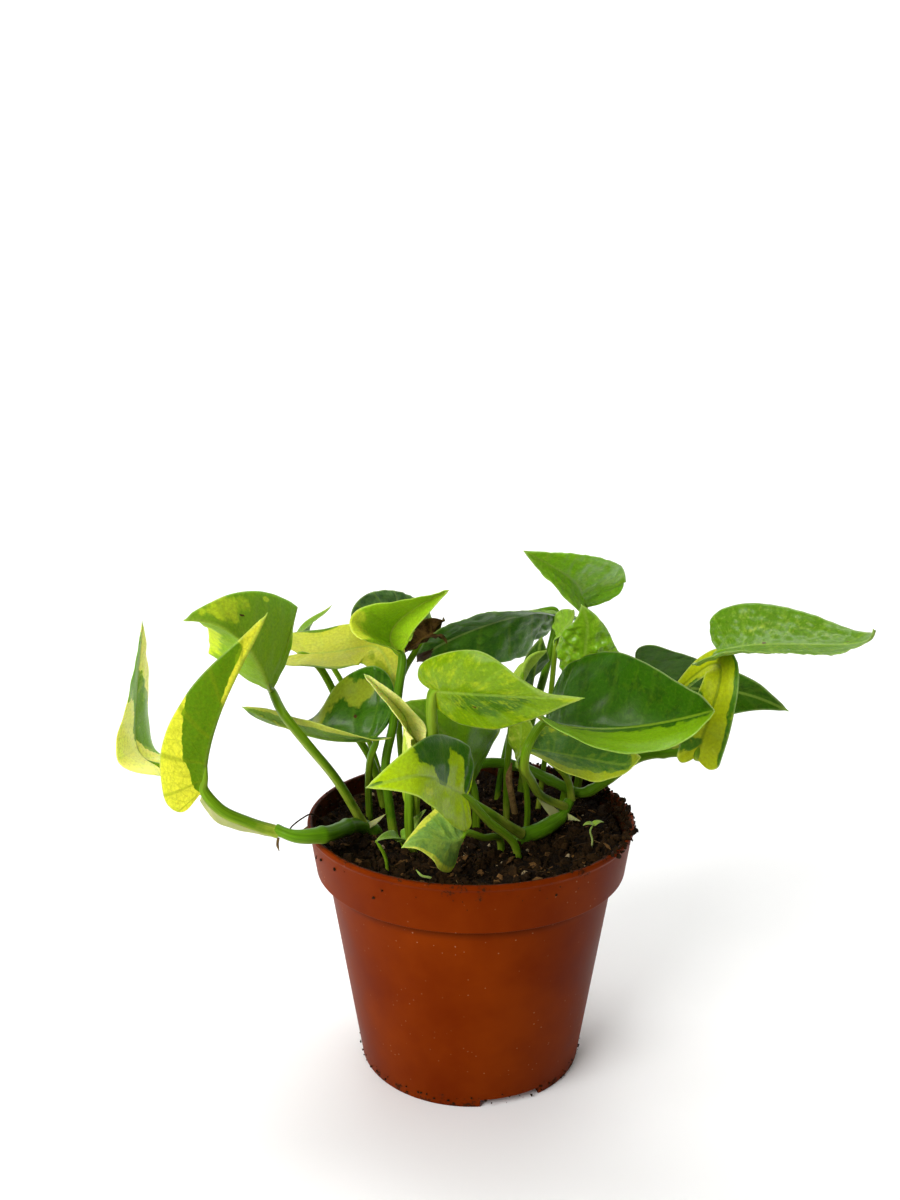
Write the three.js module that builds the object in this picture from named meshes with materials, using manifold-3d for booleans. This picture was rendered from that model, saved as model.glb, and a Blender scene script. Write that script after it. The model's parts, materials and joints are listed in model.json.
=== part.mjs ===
// A potted pothos in millimetres, +Z up: nursery pot, peat soil, three vines and their heart-shaped leaves.
// The origin is on the pot's axis, in the plane that the pot stands on, and the side to look at faces -Y.
import * as THREE from 'three';
import { mergeVertices } from 'three/addons/utils/BufferGeometryUtils.js';
import Module from 'manifold-3d';

const wasm = await Module();
wasm.setup();

// Pot
const potHeight = 93;
const rimRadius = 60;
const rimBandHeight = 18;
const bandBottomRadius = 56.8;
const bodyTopRadius = 53;
const footRadius = 41;
const footHeight = 3;
const footWidth = 2.6;
const potWall = 1.6;
const potFloor = 1.8;
const potSides = 48;
const notchCount = 3;
const notchWidth = 22.5;
const notchFirstAngle = -70;
const drainHoleRadius = 4.5;
const drainHoleCircle = 29;

// Soil
const soilHeight = 85;
const soilEdgeRise = 3;
const soilRings = 7;
const soilLumps = 0.9;

// Stems and leaves
const clearance = 0.3;
const finestStep = 0.02;
const stalkSides = 7;
const stalkStep = 9;
const roomSides = 10;
const bladeThickness = 0.8;
const bladeRows = 9;
const bladeColumns = 3;
const seats = [3, 3.2, 3.4, 3.6, 2.8, 2.6, 2.4, 3.8, 4, 4.2];

// Half a flat leaf: base, two handles round the lobe, a handle that draws out the tip, and the tip.
// Lengths run along the midrib from 0 at the stalk to 1 at the tip, and widths are parts of the half width.
const halfOutline = [[-0.03, 0.08], [-0.5, 1.2], [0.35, 1.5], [0.75, 0.25], [1, 0.03]];
const outlineWidth = 0.95;
const veinSweep = 2.2;

// Vines: points along the middle of each stem, from its end in the soil.
const vines = {
  vine_left: {
    points: [[-32, 4, 76], [-35, 0, 85], [-41, -6, 91], [-51, -28, 97], [-60, -34, 99], [-67, -33, 101]],
    thickness: 5.6,
  },
  vine_right: {
    points: [[13, -8, 76], [18, -7, 86], [26, -5, 89], [33, 2, 91], [37, 7, 95]],
    thickness: 6,
  },
  vine_trailing: {
    points: [[-14, 24, 76], [-6, 22, 96], [4, 20, 105], [20, 22, 103], [32, 17, 99], [42, 13, 96],
      [51, 10, 102], [63, 6, 113], [81, -8, 120]],
    thickness: 4,
  },
};

// Each leaf: the stalk from its root to the blade, the midrib as a Bezier curve from stalk to tip, the way its upper
// face looks at the stalk, the twist to the tip, and for the left and right half the fold and the curl in degrees.
const leaves = {
  leaf_front_small: {
    stalk: [[11, -15, 78], [10, -16, 90], [4, -26, 95]],
    thickness: 2.6,
    midrib: [[-3, -38, 102], [-6, -45, 98], [-15, -52, 109], [-23, -59, 106]],
    face: [-0.9, 0.4, 0],
    twist: 85,
    width: 24,
    fold: [25, 25],
    curl: [10, 0],
    skew: -0.1,
    lobe: 1,
    color: 0x8fae2c,
  },
  leaf_front_variegated: {
    stalk: [[17, -20, 78], [15, -20, 90], [6, -24, 100]],
    thickness: 3,
    midrib: [[-2, -31, 112], [-16, -45, 125], [-11, -58, 133], [-34, -61, 127]],
    face: [0.8, -0.5, 0.3],
    twist: 0,
    width: 30,
    fold: [5, 5],
    curl: [0, -15],
    skew: 0.2,
    lobe: 0.4,
    color: 0x8cb414,
  },
  leaf_centre: {
    vine: 'vine_right',
    stalk: [[18, -9, 89], [7, -18, 100], [-2, -22, 108], [-12, -28, 128]],
    thickness: 3.8,
    midrib: [[-13, -39, 152], [-5, -48, 154], [8, -55, 155], [34, -60, 156]],
    face: [-0.6, -0.6, -0.5],
    twist: 5,
    width: 29,
    fold: [5, 5],
    curl: [-60, 0],
    skew: 0,
    lobe: 1,
    color: 0xa0bf1e,
  },
  leaf_dark_gloss: {
    vine: 'vine_right',
    stalk: [[35, 4, 94], [26, -3, 101], [21, -15, 112], [18, -25, 121], [19, -27, 129]],
    thickness: 3.2,
    midrib: [[25, -22, 136], [47, -32, 131], [80, -42, 147], [74, -60, 152]],
    face: [0.1, -0.1, 1],
    twist: 70,
    width: 61,
    fold: [35, 35],
    curl: [-10, 0],
    skew: 0,
    lobe: 0.3,
    color: 0x2f5a0a,
  },
  leaf_arched_right: {
    vine: 'vine_trailing',
    stalk: [[82, -10, 120], [82, -16, 121]],
    thickness: 3,
    midrib: [[77, -24, 124], [81, -26, 144], [98, -18, 177], [67, -2, 133]],
    face: [-0.3, -1, 0.1],
    twist: -70,
    width: 15,
    fold: [25, 5],
    curl: [0, 0],
    skew: 0.1,
    lobe: 0.3,
    color: 0xb0b81a,
  },
  leaf_rolled_pale: {
    stalk: [[-20, -14, 78], [-22, -18, 95]],
    thickness: 3.4,
    midrib: [[-21, -20, 127], [-23, -16, 138], [-22, -24, 138], [-36, -33, 156]],
    face: [0.2, -0.9, 0.4],
    twist: 25,
    width: 22,
    fold: [55, 60],
    curl: [45, 25],
    skew: -0.1,
    lobe: 1,
    color: 0xb4bf4a,
  },
  leaf_left_front: {
    vine: 'vine_left',
    stalk: [[-66, -33, 100], [-76, -34, 104], [-85, -35, 109]],
    thickness: 4,
    midrib: [[-91, -34, 116], [-90, -39, 141], [-72, -43, 166], [-65, -47, 180]],
    face: [-0.9, 0.5, 0.1],
    twist: 0,
    width: 39,
    fold: [40, 55],
    curl: [15, 45],
    skew: -0.2,
    lobe: 0.9,
    color: 0xa8b82a,
  },
  leaf_variegated_low: {
    vine: 'vine_right',
    stalk: [[38, 8, 95], [36, 8, 104], [28, 2, 114]],
    thickness: 2.8,
    midrib: [[22, -8, 121], [54, -13, 117], [54, -17, 116], [57, -30, 126]],
    face: [0.1, -0.1, 1],
    twist: 55,
    width: 32,
    fold: [10, 20],
    curl: [-5, 0],
    skew: 0,
    lobe: 0.5,
    color: 0x8a9c3c,
  },
  leaf_top_left: {
    vine: 'vine_left',
    stalk: [[-39, -4, 90], [-48, -14, 112], [-57, -20, 127], [-65, -20, 138]],
    thickness: 3.4,
    midrib: [[-71, -7, 143], [-71, -20, 148], [-72, -32, 176], [-92, -45, 177]],
    face: [-0.4, 0.3, 0.9],
    twist: 0,
    width: 56,
    fold: [50, 50],
    curl: [0, 10],
    skew: -0.1,
    lobe: 1,
    color: 0x6f9a38,
  },
  leaf_far_left: {
    vine: 'vine_left',
    stalk: [[-60, -32, 98], [-72, -22, 99], [-92, -6, 104], [-110, 10, 107]],
    thickness: 2.6,
    midrib: [[-121, 18, 106], [-132, 21, 110], [-128, 22, 119], [-123, 22, 161]],
    face: [0.4, 0.1, 0.9],
    twist: 5,
    width: 39,
    fold: [15, 15],
    curl: [-25, -45],
    skew: 0,
    lobe: 1,
    color: 0xd8d860,
  },
  leaf_bright_folded: {
    stalk: [[-27, -5, 78], [-30, -4, 100], [-31, -4, 114], [-28, -3, 129], [-26, -3, 142]],
    thickness: 3.4,
    midrib: [[-25, 0, 154], [-39, 13, 159], [-16, 6, 173], [-8, -8, 179]],
    face: [-0.1, -0.4, 0.9],
    twist: 5,
    width: 37,
    fold: [60, 60],
    curl: [-15, 30],
    skew: 0,
    lobe: 1,
    color: 0x86b01c,
  },
  leaf_left_low: {
    stalk: [[-38, 14, 78], [-38, 6, 100], [-36, -8, 118]],
    thickness: 2.6,
    midrib: [[-34, -10, 126], [-52, -9, 124], [-58, -18, 129], [-83, 1, 134]],
    face: [-0.1, 0, 1],
    twist: 65,
    width: 41,
    fold: [15, 15],
    curl: [10, 50],
    skew: 0.4,
    lobe: 0,
    color: 0x4f7d1c,
  },
  leaf_behind_right: {
    vine: 'vine_trailing',
    stalk: [[58, 8, 109], [61, 14, 124]],
    thickness: 2.8,
    midrib: [[64, 23, 141], [96, 42, 122], [97, 38, 136], [123, 27, 124]],
    face: [0.3, -0.9, -0.4],
    twist: -20,
    width: 36,
    fold: [10, 10],
    curl: [35, 0],
    skew: 0,
    lobe: 1.1,
    color: 0x3a6210,
  },
  leaf_yellow_arch: {
    stalk: [[-32, 24, 78], [-38, 23, 105], [-46, 24, 119], [-58, 27, 142]],
    thickness: 3.2,
    midrib: [[-64, 23, 148], [-34, 27, 146], [-35, 24, 163], [-26, 7, 133]],
    face: [0.1, -0.2, 1],
    twist: 30,
    width: 29,
    fold: [10, 10],
    curl: [0, 0],
    skew: 0,
    lobe: 1,
    color: 0xdcd860,
  },
  leaf_young_left: {
    stalk: [[-33, 33, 78], [-37, 37, 100], [-56, 48, 138]],
    thickness: 2.2,
    midrib: [[-68, 49, 149], [-64, 40, 158], [-58, 42, 158], [-54, 45, 162]],
    face: [0.8, -0.2, -0.6],
    twist: -5,
    width: 11,
    fold: [30, 30],
    curl: [-15, -15],
    skew: 0,
    lobe: 1,
    color: 0x6f9a30,
  },
  leaf_back_round: {
    stalk: [[-22, 28, 78], [-27, 34, 105], [-27, 44, 132]],
    thickness: 2.6,
    midrib: [[-19, 51, 147], [-28, 40, 157], [-44, 29, 168], [-44, 18, 160]],
    face: [-0.6, 0.8, 0.3],
    twist: 5,
    width: 32,
    fold: [45, 45],
    curl: [5, 15],
    skew: 0,
    lobe: 1,
    color: 0x4a6638,
  },
  leaf_back_long: {
    stalk: [[20, 36, 78], [24, 42, 110], [31, 42, 140]],
    thickness: 3.2,
    midrib: [[34, 45, 159], [22, 41, 162], [-14, 41, 149], [-21, 51, 137]],
    face: [-0.1, -0.4, -0.9],
    twist: 55,
    width: 48,
    fold: [20, 20],
    curl: [0, -5],
    skew: -0.1,
    lobe: 0.6,
    color: 0x466c2a,
  },
  leaf_far_right: {
    vine: 'vine_trailing',
    stalk: [[74, -2, 118], [84, 6, 130], [88, 4, 146]],
    thickness: 3,
    midrib: [[85, -16, 159], [98, -25, 168], [135, -34, 161], [127, -44, 174]],
    face: [-0.5, 0, 0.8],
    twist: 5,
    width: 36,
    fold: [10, 10],
    curl: [40, 25],
    skew: 0,
    lobe: 0.5,
    color: 0x78a024,
  },
  leaf_top_right: {
    stalk: [[40, 30, 78], [46, 33, 110], [49, 35, 140]],
    thickness: 3.2,
    midrib: [[43, 22, 166], [38, 20, 173], [48, 16, 174], [18, -3, 192]],
    face: [0.7, -0.6, 0.3],
    twist: -30,
    width: 33,
    fold: [40, 40],
    curl: [10, 10],
    skew: 0.1,
    lobe: 0.6,
    color: 0x6e9c2e,
  },
  leaf_crumpled: {
    stalk: [[34, 20, 78], [38, 20, 100], [42, 16, 122]],
    thickness: 3,
    midrib: [[43, 5, 144], [38, -1, 161], [44, -5, 162], [38, -8, 174]],
    face: [-0.3, -0.9, -0.4],
    twist: 10,
    width: 26,
    fold: [0, 0],
    curl: [-45, -20],
    skew: 0,
    lobe: 1,
    color: 0x78a020,
  },
  leaf_small_crumpled: {
    stalk: [[26, 24, 78], [29, 24, 105], [31, 22, 135]],
    thickness: 2.2,
    midrib: [[32, 14, 157], [34, 12, 162], [38, 9, 164], [37, 6, 169]],
    face: [-0.9, 0.1, 0.4],
    twist: 30,
    width: 14,
    fold: [10, 10],
    curl: [30, 5],
    skew: -0.2,
    lobe: 0.7,
    color: 0x86ad3a,
  },
  leaf_bright_behind: {
    stalk: [[2, 4, 78], [2, 2, 95]],
    thickness: 3,
    midrib: [[1, 4, 104], [-2, -6, 112], [-5, -12, 130], [-24, -16, 141]],
    face: [0.9, -0.5, -0.2],
    twist: -5,
    width: 43,
    fold: [-10, -10],
    curl: [-5, 20],
    skew: 0.1,
    lobe: 0.5,
    color: 0x5f9010,
  },
  leaf_inner_small: {
    stalk: [[20, 2, 78], [21, 0, 93], [20, 0, 106]],
    thickness: 2.2,
    midrib: [[17, -4, 115], [19, -1, 124], [18, 2, 130], [18, 0, 135]],
    face: [-1, 0, 0.1],
    twist: 85,
    width: 17,
    fold: [10, 10],
    curl: [-30, -5],
    skew: 0,
    lobe: 0.8,
    color: 0x8fae1c,
  },
  leaf_rolled_centre: {
    stalk: [[14, 13, 78], [14, 13, 105], [16, 10, 130]],
    thickness: 2.6,
    midrib: [[18, -4, 146], [19, 5, 154], [27, 9, 152], [28, 13, 152]],
    face: [-0.1, 0.6, -0.8],
    twist: -35,
    width: 11,
    fold: [55, 55],
    curl: [40, 0],
    skew: 0.1,
    lobe: 1,
    color: 0xa0b83a,
  },
  leaf_back_dark: {
    stalk: [[10, 30, 78], [13, 32, 100], [18, 32, 120]],
    thickness: 2.4,
    midrib: [[23, 31, 131], [25, 24, 145], [24, 23, 140], [27, 22, 155]],
    face: [-1, 0.1, 0.2],
    twist: -80,
    width: 20,
    fold: [10, 10],
    curl: [-35, -15],
    skew: 0,
    lobe: 1,
    color: 0x4c5f2a,
  },
};

// Solids
function toSolid(geometry) {
  geometry.deleteAttribute('normal');
  geometry.deleteAttribute('uv');
  const merged = mergeVertices(geometry, 1e-4);
  const mesh = new wasm.Mesh({
    numProp: 3,
    vertProperties: merged.attributes.position.array,
    triVerts: new Uint32Array(merged.index.array),
  });
  return new wasm.Manifold(mesh);
}

// Points go to the finest step, so no edge of a joined solid is shorter, and triangles that close up are dropped.
function toGeometry(solid) {
  const mesh = solid.getMesh();
  const geometry = new THREE.BufferGeometry();
  const position = mesh.vertProperties.map((value) => Math.round(value / finestStep) * finestStep);
  geometry.setAttribute('position', new THREE.BufferAttribute(position, 3));
  geometry.setIndex(new THREE.BufferAttribute(mesh.triVerts, 1));
  const merged = mergeVertices(geometry, finestStep / 4);
  const index = [...merged.index.array];
  const kept = [];
  for (let i = 0; i < index.length; i += 3) {
    const [a, b, c] = index.slice(i, i + 3);
    if (a !== b && b !== c && c !== a) {
      kept.push(a, b, c);
    }
  }
  return merged.setIndex(kept);
}

// A joined solid is sound if each edge has two triangles and no triangle is flatter than a tenth of the finest step.
function isSound(geometry) {
  const index = geometry.index.array;
  const position = geometry.attributes.position;
  const uses = new Map();
  for (let i = 0; i < index.length; i += 3) {
    const corners = [0, 1, 2].map((k) => new THREE.Vector3().fromBufferAttribute(position, index[i + k]));
    const longest = Math.max(...corners.map((corner, k) => corner.distanceTo(corners[(k + 1) % 3])));
    if ((2 * new THREE.Triangle(...corners).getArea()) / longest < finestStep / 10) {
      return false;
    }
    for (let k = 0; k < 3; k += 1) {
      const edge = [index[i + k], index[i + ((k + 1) % 3)]].sort((a, b) => a - b).join();
      uses.set(edge, (uses.get(edge) ?? 0) + 1);
    }
  }
  return [...uses.values()].every((count) => count === 2);
}

function namedMesh(name, solid, color, roughness) {
  const geometry = toGeometry(solid).toNonIndexed();
  geometry.computeVertexNormals();
  const mesh = new THREE.Mesh(geometry, new THREE.MeshStandardMaterial({ color, roughness, metalness: 0 }));
  mesh.name = name;
  return mesh;
}

function turned(profile, sides) {
  const points = profile.map(([radius, height]) => new THREE.Vector2(radius, height));
  return new THREE.LatheGeometry(points, sides).rotateX(Math.PI / 2);
}

// Pot: one moulded wall with a band round the rim, a raised floor and a foot ring.
function potInnerRadius(height) {
  const rise = height / (potHeight - rimBandHeight);
  return footRadius - potWall + rise * (bodyTopRadius - footRadius);
}

function potSolid() {
  const bandBottom = potHeight - rimBandHeight;
  const floorTop = footHeight + potFloor;
  const profile = [
    [0, footHeight],
    [footRadius - footWidth, footHeight],
    [footRadius - footWidth, 0],
    [footRadius, 0],
    [bodyTopRadius, bandBottom - 1.5],
    [bandBottomRadius, bandBottom],
    [rimRadius - 0.8, potHeight - 2.4],
    [rimRadius, potHeight - 1.2],
    [rimRadius - 0.4, potHeight],
    [rimRadius - 2, potHeight],
    [bandBottomRadius - potWall, bandBottom + 1],
    [potInnerRadius(bandBottom - 1), bandBottom - 1],
    [potInnerRadius(floorTop), floorTop],
    [0, floorTop],
  ];
  let solid = toSolid(turned(profile, potSides));
  for (let i = 0; i < notchCount; i += 1) {
    const angle = THREE.MathUtils.degToRad(notchFirstAngle + (i * 360) / notchCount);
    const notch = new THREE.BoxGeometry(14, notchWidth, 2 * footHeight);
    notch.translate(footRadius, 0, 0).rotateZ(angle);
    const drain = new THREE.CylinderGeometry(drainHoleRadius, drainHoleRadius, 4 * footHeight, 16);
    drain.rotateX(Math.PI / 2).translate(drainHoleCircle, 0, floorTop).rotateZ(angle);
    solid = solid.subtract(toSolid(notch)).subtract(toSolid(drain));
  }
  return solid;
}

// Soil: a plug that keeps clear of the pot, higher along the wall, with a lumpy top.
function soilTop(x, y) {
  const reach = Math.hypot(x, y) / rimRadius;
  const lumps = Math.sin(x * 0.31 + y * 0.12) + Math.sin(y * 0.37 - x * 0.17) + Math.sin((x + y) * 0.23);
  return soilHeight + soilEdgeRise * reach ** 3 + (soilLumps * lumps) / 2;
}

function soilSolid() {
  const bandBottom = potHeight - rimBandHeight;
  const bottom = footHeight + potFloor + clearance;
  const edge = bandBottomRadius - potWall;
  const profile = [
    [0, bottom],
    [potInnerRadius(bottom) - clearance, bottom],
    [potInnerRadius(bandBottom - 1) - 2 * clearance, bandBottom - 1],
    [edge - 2 * clearance, bandBottom + 1],
  ];
  for (let i = soilRings; i >= 0; i -= 1) {
    profile.push([(edge * i) / soilRings, soilHeight]);
  }
  const geometry = turned(profile, potSides);
  const position = geometry.attributes.position;
  for (let i = 0; i < position.count; i += 1) {
    if (position.getZ(i) > soilHeight - 0.5) {
      position.setZ(i, soilTop(position.getX(i), position.getY(i)));
    }
  }
  return toSolid(geometry);
}

// Stalks and vines: a round section along a smooth curve through points.
function stalkSolid(points, radius, sides = stalkSides) {
  const curve = new THREE.CatmullRomCurve3(points.map((point) => new THREE.Vector3(...point)));
  const steps = Math.max(3, Math.round(curve.getLength() / stalkStep));
  const section = [];
  for (let i = 0; i < sides; i += 1) {
    const angle = (2 * Math.PI * i) / sides;
    section.push(new THREE.Vector2(radius * Math.cos(angle), radius * Math.sin(angle)));
  }
  const settings = { extrudePath: curve, steps, bevelEnabled: false };
  return toSolid(new THREE.ExtrudeGeometry(new THREE.Shape(section), settings));
}

// The room that a stalk takes in what holds it: the clearance all round, and past its root.
function stalkRoom(points, radius) {
  const [root, next] = points.map((point) => new THREE.Vector3(...point));
  const below = root.clone().sub(next).setLength(2 * clearance).add(root);
  const flats = Math.cos(Math.PI / roomSides);
  return stalkSolid([below.toArray(), ...points.slice(1)], (radius + clearance) / flats, roomSides);
}

// Leaves: the flat outline is laid on a curved midrib, folded along it and curled across.
function bezier(points, t) {
  if (points.length === 1) {
    return points[0];
  }
  const next = points.slice(1).map((point, i) => point.map((value, k) => points[i][k] * (1 - t) + value * t));
  return bezier(next, t);
}

function midribFrames(leaf) {
  const curve = new THREE.CubicBezierCurve3(...leaf.midrib.map((point) => new THREE.Vector3(...point)));
  const count = 40;
  const frames = [];
  let up = new THREE.Vector3(...leaf.face);
  for (let i = 0; i <= count; i += 1) {
    const along = curve.getTangentAt(i / count);
    up = up.clone().projectOnPlane(along).normalize();
    const turn = THREE.MathUtils.degToRad((leaf.twist * i) / count);
    const face = up.clone().applyAxisAngle(along, turn);
    frames.push({ place: curve.getPointAt(i / count), along, face, across: along.clone().cross(face) });
  }
  return { frames, length: curve.getLength() };
}

// A point of the blade: row and part place it on its half, and lift puts it above or below the middle of the blade.
// A narrow row folds less, so that its two halves stay clear of each other.
function bladePoint(leaf, rib, side, row, part, lift) {
  const [edgeX, edgeY] = bezier(halfOutline, row);
  const lobe = edgeX < 0 ? leaf.lobe : 1;
  const x = THREE.MathUtils.lerp(row ** veinSweep, edgeX * lobe, part);
  const halfWidth = leaf.width / 2;
  const rowWidth = (edgeY * halfWidth * (1 + side * leaf.skew)) / outlineWidth;
  const y = part * rowWidth;
  const half = side < 0 ? 0 : 1;
  const mostFold = Math.atan((rowWidth / bladeColumns) * (1.8 / bladeThickness));
  const curl = THREE.MathUtils.degToRad((leaf.curl[half] * y) / halfWidth / 2);
  const bend = Math.min(THREE.MathUtils.degToRad(leaf.fold[half]), mostFold) + curl;
  const index = THREE.MathUtils.clamp(x, 0, 1) * (rib.frames.length - 1);
  const from = rib.frames[Math.min(Math.floor(index), rib.frames.length - 2)];
  const to = rib.frames[Math.min(Math.floor(index) + 1, rib.frames.length - 1)];
  const mix = index - rib.frames.indexOf(from);
  const across = from.across.clone().lerp(to.across, mix).multiplyScalar(side);
  const face = from.face.clone().lerp(to.face, mix);
  const slope = part > 0 ? bend + curl : 0;
  const normal = face.clone().multiplyScalar(Math.cos(slope)).addScaledVector(across, -Math.sin(slope));
  const point = from.place.clone().lerp(to.place, mix);
  point.addScaledVector(rib.frames[0].along, Math.min(x, 0) * rib.length);
  point.addScaledVector(across, y * Math.cos(bend)).addScaledVector(face, y * Math.sin(bend));
  return point.addScaledVector(normal, part > 0 ? lift : lift / Math.cos(bend));
}

function bladeSolid(leaf) {
  const rib = midribFrames(leaf);
  const columns = 2 * bladeColumns + 1;
  const positions = [];
  for (const lift of [bladeThickness / 2, -bladeThickness / 2]) {
    for (let i = 0; i < bladeRows; i += 1) {
      for (let j = 0; j < columns; j += 1) {
        const across = (j - bladeColumns) / bladeColumns;
        const place = [Math.sign(across) || 1, i / (bladeRows - 1), Math.abs(across)];
        positions.push(...bladePoint(leaf, rib, ...place, lift).toArray());
      }
    }
  }
  const triangles = [];
  const back = bladeRows * columns;
  const quad = (a, b, c, d) => triangles.push(a, b, c, a, c, d);
  for (let i = 0; i < bladeRows - 1; i += 1) {
    for (let j = 0; j < columns - 1; j += 1) {
      const corner = i * columns + j;
      const ring = [corner, corner + 1, corner + columns + 1, corner + columns];
      quad(...ring);
      triangles.push(...[ring[2], ring[1], ring[0], ring[3], ring[2], ring[0]].map((k) => k + back));
    }
    const left = i * columns;
    const right = left + columns - 1;
    quad(left, left + columns, left + columns + back, left + back);
    quad(right + columns, right, right + back, right + columns + back);
  }
  for (let j = 0; j < columns - 1; j += 1) {
    const tip = (bladeRows - 1) * columns + j;
    quad(j + 1, j, j + back, j + 1 + back);
    quad(tip, tip + 1, tip + 1 + back, tip + back);
  }
  const geometry = new THREE.BufferGeometry();
  geometry.setAttribute('position', new THREE.Float32BufferAttribute(positions, 3));
  geometry.setIndex(triangles);
  return toSolid(geometry);
}

// A leaf stalk ends just inside the blade, under the start of the midrib, and leaves room for the vine it grew from.
function leafStalk(leaf, seat) {
  const base = new THREE.Vector3(...leaf.midrib[0]);
  const inward = new THREE.Vector3(...leaf.midrib[1]).sub(base).setLength(seat).add(base);
  return [...leaf.stalk, leaf.midrib[0], inward.toArray()];
}

function leafSolid(leaf) {
  const blade = bladeSolid(leaf);
  let solid;
  for (const seat of seats) {
    solid = blade.add(stalkSolid(leafStalk(leaf, seat), leaf.thickness / 2));
    if (leaf.vine) {
      const vine = vines[leaf.vine];
      solid = solid.subtract(stalkRoom(vine.points, vine.thickness / 2));
    }
    if (isSound(toGeometry(solid))) {
      return solid;
    }
  }
  return solid;
}

// The plant: vines stand in the soil, and each leaf stands in the soil or against the vine that it grew from.
const plant = new THREE.Group();
plant.add(namedMesh('pot', potSolid(), 0x8a3a18, 0.45));
let soil = soilSolid();
for (const [name, vine] of Object.entries(vines)) {
  plant.add(namedMesh(name, stalkSolid(vine.points, vine.thickness / 2), 0x5f8a1e, 0.5));
  soil = soil.subtract(stalkRoom(vine.points, vine.thickness / 2));
}
for (const [name, leaf] of Object.entries(leaves)) {
  if (!leaf.vine) {
    soil = soil.subtract(stalkRoom(leafStalk(leaf, seats[0]), leaf.thickness / 2));
  }
  plant.add(namedMesh(name, leafSolid(leaf), leaf.color, 0.4));
}
plant.add(namedMesh('soil', soil, 0x241a10, 0.95));

export default plant;
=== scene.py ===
import bpy
import json
import math
import numpy as np
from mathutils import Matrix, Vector, noise

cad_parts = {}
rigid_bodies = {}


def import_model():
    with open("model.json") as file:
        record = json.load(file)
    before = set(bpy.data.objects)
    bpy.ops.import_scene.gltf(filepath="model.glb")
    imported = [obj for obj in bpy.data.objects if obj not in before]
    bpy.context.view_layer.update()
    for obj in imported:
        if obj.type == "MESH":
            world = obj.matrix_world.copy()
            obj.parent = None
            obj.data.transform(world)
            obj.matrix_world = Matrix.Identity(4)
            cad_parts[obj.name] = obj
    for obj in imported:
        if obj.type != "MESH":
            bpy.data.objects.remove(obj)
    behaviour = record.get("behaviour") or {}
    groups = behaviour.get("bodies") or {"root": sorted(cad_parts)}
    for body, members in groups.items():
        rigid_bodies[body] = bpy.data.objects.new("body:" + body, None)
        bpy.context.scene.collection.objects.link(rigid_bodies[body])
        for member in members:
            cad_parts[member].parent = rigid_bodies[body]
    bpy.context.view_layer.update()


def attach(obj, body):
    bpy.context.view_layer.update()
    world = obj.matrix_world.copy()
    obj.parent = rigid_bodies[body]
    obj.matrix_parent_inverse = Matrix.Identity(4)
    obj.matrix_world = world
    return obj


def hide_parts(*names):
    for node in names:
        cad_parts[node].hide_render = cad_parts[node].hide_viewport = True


# A potted pothos in metres, +Z up: nursery pot, peat, three vines and twenty-five leaves.
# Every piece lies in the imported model's own frame and stands for the CAD node of its name.
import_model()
scene = bpy.context.scene
mm = 0.001
smooth = {"interpolation_type": "SMOOTHSTEP"}


# An sRGB hex colour as the linear colour that a node socket takes.
def linear(hexColour):
    parts = [int(hexColour[i:i + 2], 16) / 255 for i in (1, 3, 5)]
    return [c / 12.92 if c <= 0.04045 else ((c + 0.055) / 1.055) ** 2.4 for c in parts] + [1.0]


# Adds a node. Plain values go to its first inputs in order. A name with a small letter is a setting of the
# node, and one with a capital is an input, with _ for a space. An input takes a value, a socket, or a node's
# first output.
def addNode(tree, kind, *values, **named):
    node = tree.nodes.new(kind)
    for name in [name for name in named if name[0].islower()]:
        setattr(node, name, named.pop(name))
    sockets = [socket for socket in node.inputs if socket.enabled]
    given = list(zip(sockets, values))
    for name, value in named.items():
        given.append((next(s for s in sockets if name == s.name.replace(" ", "_")), value))
    for socket, value in given:
        if isinstance(value, bpy.types.Node):
            value = next(s for s in value.outputs if s.enabled)
        if isinstance(value, bpy.types.NodeSocket):
            tree.links.new(value, socket)
        else:
            socket.default_value = value
    return node


# A material, and what adds a shader node to it.
def newMaterial(name):
    material = bpy.data.materials.new(name)
    material.use_nodes = True
    tree = material.node_tree
    tree.nodes.clear()
    return material, lambda kind, *values, **named: addNode(tree, "ShaderNode" + kind, *values, **named)


# A geometry tree with named inputs, what adds a node to it, and its inputs as sockets. The inputs are numbers,
# or the name of another kind of socket.
def newGeometryTree(name, inputs):
    tree = bpy.data.node_groups.new(name, "GeometryNodeTree")
    for way in ("INPUT", "OUTPUT"):
        tree.interface.new_socket(name="Geometry", in_out=way, socket_type="NodeSocketGeometry")
    for label, value in inputs.items():
        kind = {int: "Int", float: "Float"}.get(type(value), value)
        socket = tree.interface.new_socket(name=label, in_out="INPUT", socket_type=f"NodeSocket{kind}")
        if kind != value:
            socket.default_value = value
    start = tree.nodes.new("NodeGroupInput")
    return tree, lambda kind, *values, **named: addNode(tree, kind, *values, **named), start.outputs


# Runs a geometry tree on a carrier object and hands back the plain mesh; the carrier goes.
def growMesh(carrier, tree, values):
    modifier = carrier.modifiers.new(tree.name, "NODES")
    modifier.node_group = tree
    for item in tree.interface.items_tree:
        if item.in_out == "INPUT" and item.name in values:
            modifier[item.identifier] = values[item.name]
    return bakedMesh(carrier)


# An object's mesh with its modifiers applied; the object goes.
def bakedMesh(obj):
    view = bpy.context.evaluated_depsgraph_get()
    mesh = bpy.data.meshes.new_from_object(
        obj.evaluated_get(view), preserve_all_data_layers=True, depsgraph=view)
    bpy.data.objects.remove(obj)
    return mesh


def addObject(name, data):
    obj = bpy.data.objects.new(name, data)
    scene.collection.objects.link(obj)
    return obj


def meshOf(points, faces):
    mesh = bpy.data.meshes.new("mesh")
    mesh.from_pydata(np.asarray(points, float).tolist(), [], faces)
    mesh.update()
    return mesh


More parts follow.
